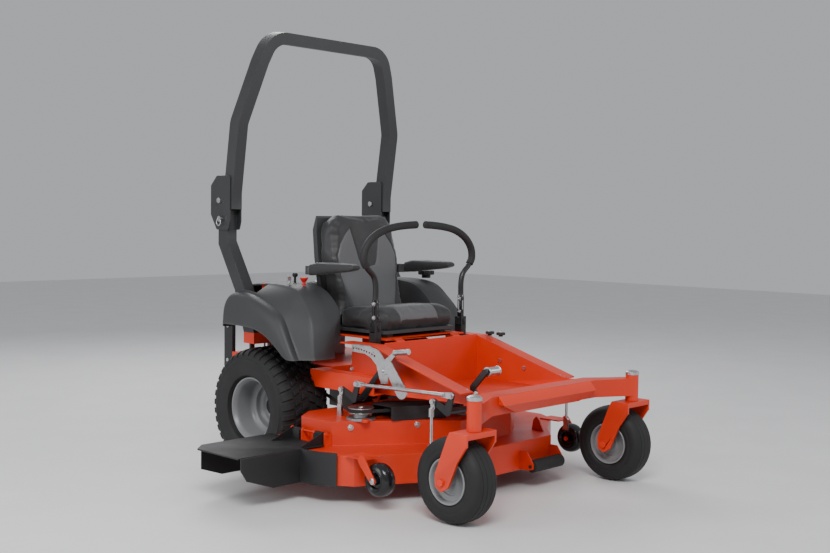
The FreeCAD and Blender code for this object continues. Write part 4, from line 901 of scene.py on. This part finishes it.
def make_deck_detail():
    """Lifting eye, stiffening gussets by the front hangers and a low round boss on each side of the deck top."""
    parts = []
    for s in (-1, 1):
        x = s * GUSSET_X
        parts.append(side_plate([(338, 200), (402, 200), (394, 246), (378, 262), (362, 246)], x - 4, x + 4))
        parts.append(disc_stack((s * 470, 640, 299), (0, 0, 1), [(0, 17), (9, 17), (12, 14)], 28))
    plates = piece("deck_gussets", mesh_from("deck_gussets", *joined(parts)), "deck", "orange_coat", 0.5)
    bevelled(plates, 0.001)
    ring = [(-400 + 15 * math.cos(a), 700, 312 + 15 * math.sin(a)) for a in
            [math.radians(d) for d in range(-40, 221, 20)]]
    tube("lifting_eye", ring, 3.2, "deck", "zinc_plate", 3)


def make_control_detail():
    """Rubber boots round the control-lever sockets, and tank knobs."""
    for name, sign in SIDES.items():
        x = sign * LEVER_X
        rings = []
        for i in range(7):
            rings += [(i * 5.0, 21.0 - i * 0.6), (i * 5.0 + 2.5, 24.0 - i * 0.6)]
        boot = disc_stack((x, 785, 652), (0, 0, 1), [(0, 18)] + rings + [(36, 15)], 40)
        piece("lever_boot_" + name, mesh_from("boot", *boot), "yoke_" + name, "roller_rubber", 0.9)
    for y in (600, 665):
        knob = disc_stack((352, y, 604), (0, 0, 1), [(0, 10), (6, 10), (7, 19), (9, 21), (17, 21), (19, 19)], 36)
        piece("rail_knob_%d" % y, mesh_from("knob", *knob), "chassis", "black_moulding", 0.5)
        core = disc_stack((352, y, 623), (0, 0, 1), [(0, 9), (2, 9), (3, 7)], 24)
        piece("rail_knob_core_%d" % y, mesh_from("core", *core), "chassis", "zinc_plate", 0.5)


def make_fittings():
    places = [((s * x, y, z), (s, 0, 0), r) for s in (-1, 1) for x, y, z, r in FRAME_BOLTS]
    bolt_set("frame_bolts", "chassis", places)
    bolt_set("deck_bolts", "deck", [((x, y, z), (-0.58, -0.81, 0), r) for x, y, z, r in DECK_BOLTS])


def make_engine_detail():
    """Cooling fins, the spinning air screen and the air cleaner's clamps."""
    parts = []
    y = 1510.0
    for i in range(24):
        a = 2 * math.pi * i / 24
        inner = (34 * math.cos(a), y + 34 * math.sin(a), 741)
        outer = (99 * math.cos(a + 0.25), y + 99 * math.sin(a + 0.25), 741)
        side = Vector((-math.sin(a), math.cos(a), 0)) * 1.6
        verts = [place_mm(*(Vector(p) + side * s + Vector((0, 0, h)))) for p in (inner, outer) for s in (-1, 1)
                 for h in (0, 4)]
        parts.append((verts, BOX_FACES))
    for radius in (36, 52, 68, 84, 99):
        parts.append(disc_ring((0, y, 740), radius, 2.0, 5))
    parts.append(disc_stack((0, y, 738), (0, 0, 1), [(0, 34), (6, 34), (9, 28), (9, 1)], 40))
    piece("air_screen", mesh_from("air_screen", *joined(parts)), "engine_pulley", "black_moulding",
          0.5)
    clamps = []
    for x in (-110, 110):
        clamps.append(disc_ring_x((x, y + 110, 765), 53.2, 1.4, 14))
    piece("cleaner_clamps", mesh_from("cleaner_clamps", *joined(clamps)), "chassis", "zinc_plate", 0.5)


def disc_ring(centre, radius, width, height, sides=64):
    """A flat ring round Z."""
    verts = []
    faces = []
    for i in range(sides):
        a = 2 * math.pi * i / sides
        for r, h in ((radius - width, 0), (radius + width, 0), (radius + width, height), (radius - width, height)):
            verts.append(place_mm(centre[0] + r * math.cos(a), centre[1] + r * math.sin(a), centre[2] + h))
    for i in range(sides):
        j = (i + 1) % sides
        for k in range(4):
            n = (k + 1) % 4
            faces.append((i * 4 + k, j * 4 + k, j * 4 + n, i * 4 + n))
    return verts, faces


def disc_ring_x(centre, radius, width, length, sides=64):
    """A band round X."""
    profile = [(-length / 2, radius - width), (-length / 2, radius + width), (length / 2, radius + width),
               (length / 2, radius - width)]
    return turned(profile, centre, 1, sides)


# ---- camera, floor and light ----
CAMERA_FROM_ORIGIN = (-3.720, -2.728, 1.153)
CAMERA_YAW = 46.38
CAMERA_PITCH = 3.02
CAMERA_ROLL = 0.765
FOCAL = 49.39
SENSOR = 36.0


def make_camera():
    yaw = math.radians(CAMERA_YAW)
    pitch = math.radians(CAMERA_PITCH)
    roll = math.radians(CAMERA_ROLL)
    ahead = Vector((math.sin(yaw) * math.cos(pitch), math.cos(yaw) * math.cos(pitch), -math.sin(pitch)))
    right = Vector((math.cos(yaw), -math.sin(yaw), 0))
    up = right.cross(ahead)
    turned = right * math.cos(roll) + up * math.sin(roll)
    top = up * math.cos(roll) - right * math.sin(roll)
    lens = bpy.data.cameras.new("camera")
    lens.sensor_width = SENSOR
    lens.lens = FOCAL
    made = bpy.data.objects.new("camera", lens)
    made.matrix_world = Matrix.Translation(at(*CAMERA_FROM_ORIGIN)) @ Matrix(
        (turned, top, -ahead)).transposed().to_4x4()
    bpy.context.scene.collection.objects.link(made)
    bpy.context.scene.camera = made


def area_light(name, place, target, size, power, colour=(1, 1, 1)):
    light = bpy.data.lights.new(name, "AREA")
    light.shape = "RECTANGLE"
    light.size = size[0]
    light.size_y = size[1]
    light.energy = power
    light.color = colour
    made = bpy.data.objects.new(name, light)
    made.location = place
    made.rotation_euler = (Vector(target) - Vector(place)).to_track_quat("-Z", "Y").to_euler()
    bpy.context.scene.collection.objects.link(made)


def make_stage():
    mesh = bpy.data.meshes.new("floor")
    work = bmesh.new()
    bmesh.ops.create_grid(work, x_segments=24, y_segments=24, size=14)
    work.to_mesh(mesh)
    work.free()
    floor = bpy.data.objects.new("floor", mesh)
    bpy.context.scene.collection.objects.link(floor)
    material, tree, shader = graph("studio_floor")
    shade = object_noise(tree, 3.0, 3)
    tint = ramp(tree, shade.outputs["Fac"], ((0.3, (0.72, 0.72, 0.72)), (0.7, (0.76, 0.76, 0.76))))
    tree.links.new(tint.outputs["Color"], shader.inputs["Base Color"])
    shader.inputs["Roughness"].default_value = 0.55
    floor.data.materials.append(material)
    floor.location.z = -0.001
    world = bpy.data.worlds.new("studio")
    world.use_nodes = True
    world.node_tree.nodes["Background"].inputs["Color"].default_value = (0.93, 0.95, 1.0, 1)
    world.node_tree.nodes["Background"].inputs["Strength"].default_value = 0.48
    bpy.context.scene.world = world
    area_light("key", at(-3.4, -2.2, 4.2), at(0, 0.7, 0.4), (2.4, 1.6), 230)
    area_light("fill", at(3.6, -3.4, 2.6), at(0, 0.7, 0.5), (3.0, 2.0), 45)
    area_light("rim", at(1.5, 4.6, 3.6), at(0, 0.9, 0.7), (3.5, 1.6), 120)
    area_light("side", at(-4.6, 2.2, 2.0), at(-0.4, 1.0, 0.5), (2.0, 2.6), 60)


make_materials()
make_camera()
make_stage()
PAIRED = ("anti_scalp_wheel_", "rear_tyre_", "rear_rim_", "caster_tyre_", "caster_rim_", "control_lever_", "armrest_")
REBUILT = set()
for name, sign in SIDES.items():
    rear_tyre(name, sign)
    rear_rim(name, sign)
    caster_wheel(name, sign)
    fender(name, sign)
    lever(name, sign)
    scalp_wheel(name, sign)
    REBUILT.add(name + "_fender")
    REBUILT.update(kind + name for kind in PAIRED)
make_seat()
drive_belt()
REBUILT.update(("seat_cushion", "seat_back", "deck_belt"))
make_engine_detail()
make_fittings()
make_deck_detail()
make_control_detail()
for name in NODES:
    if name not in REBUILT:
        refined(name)
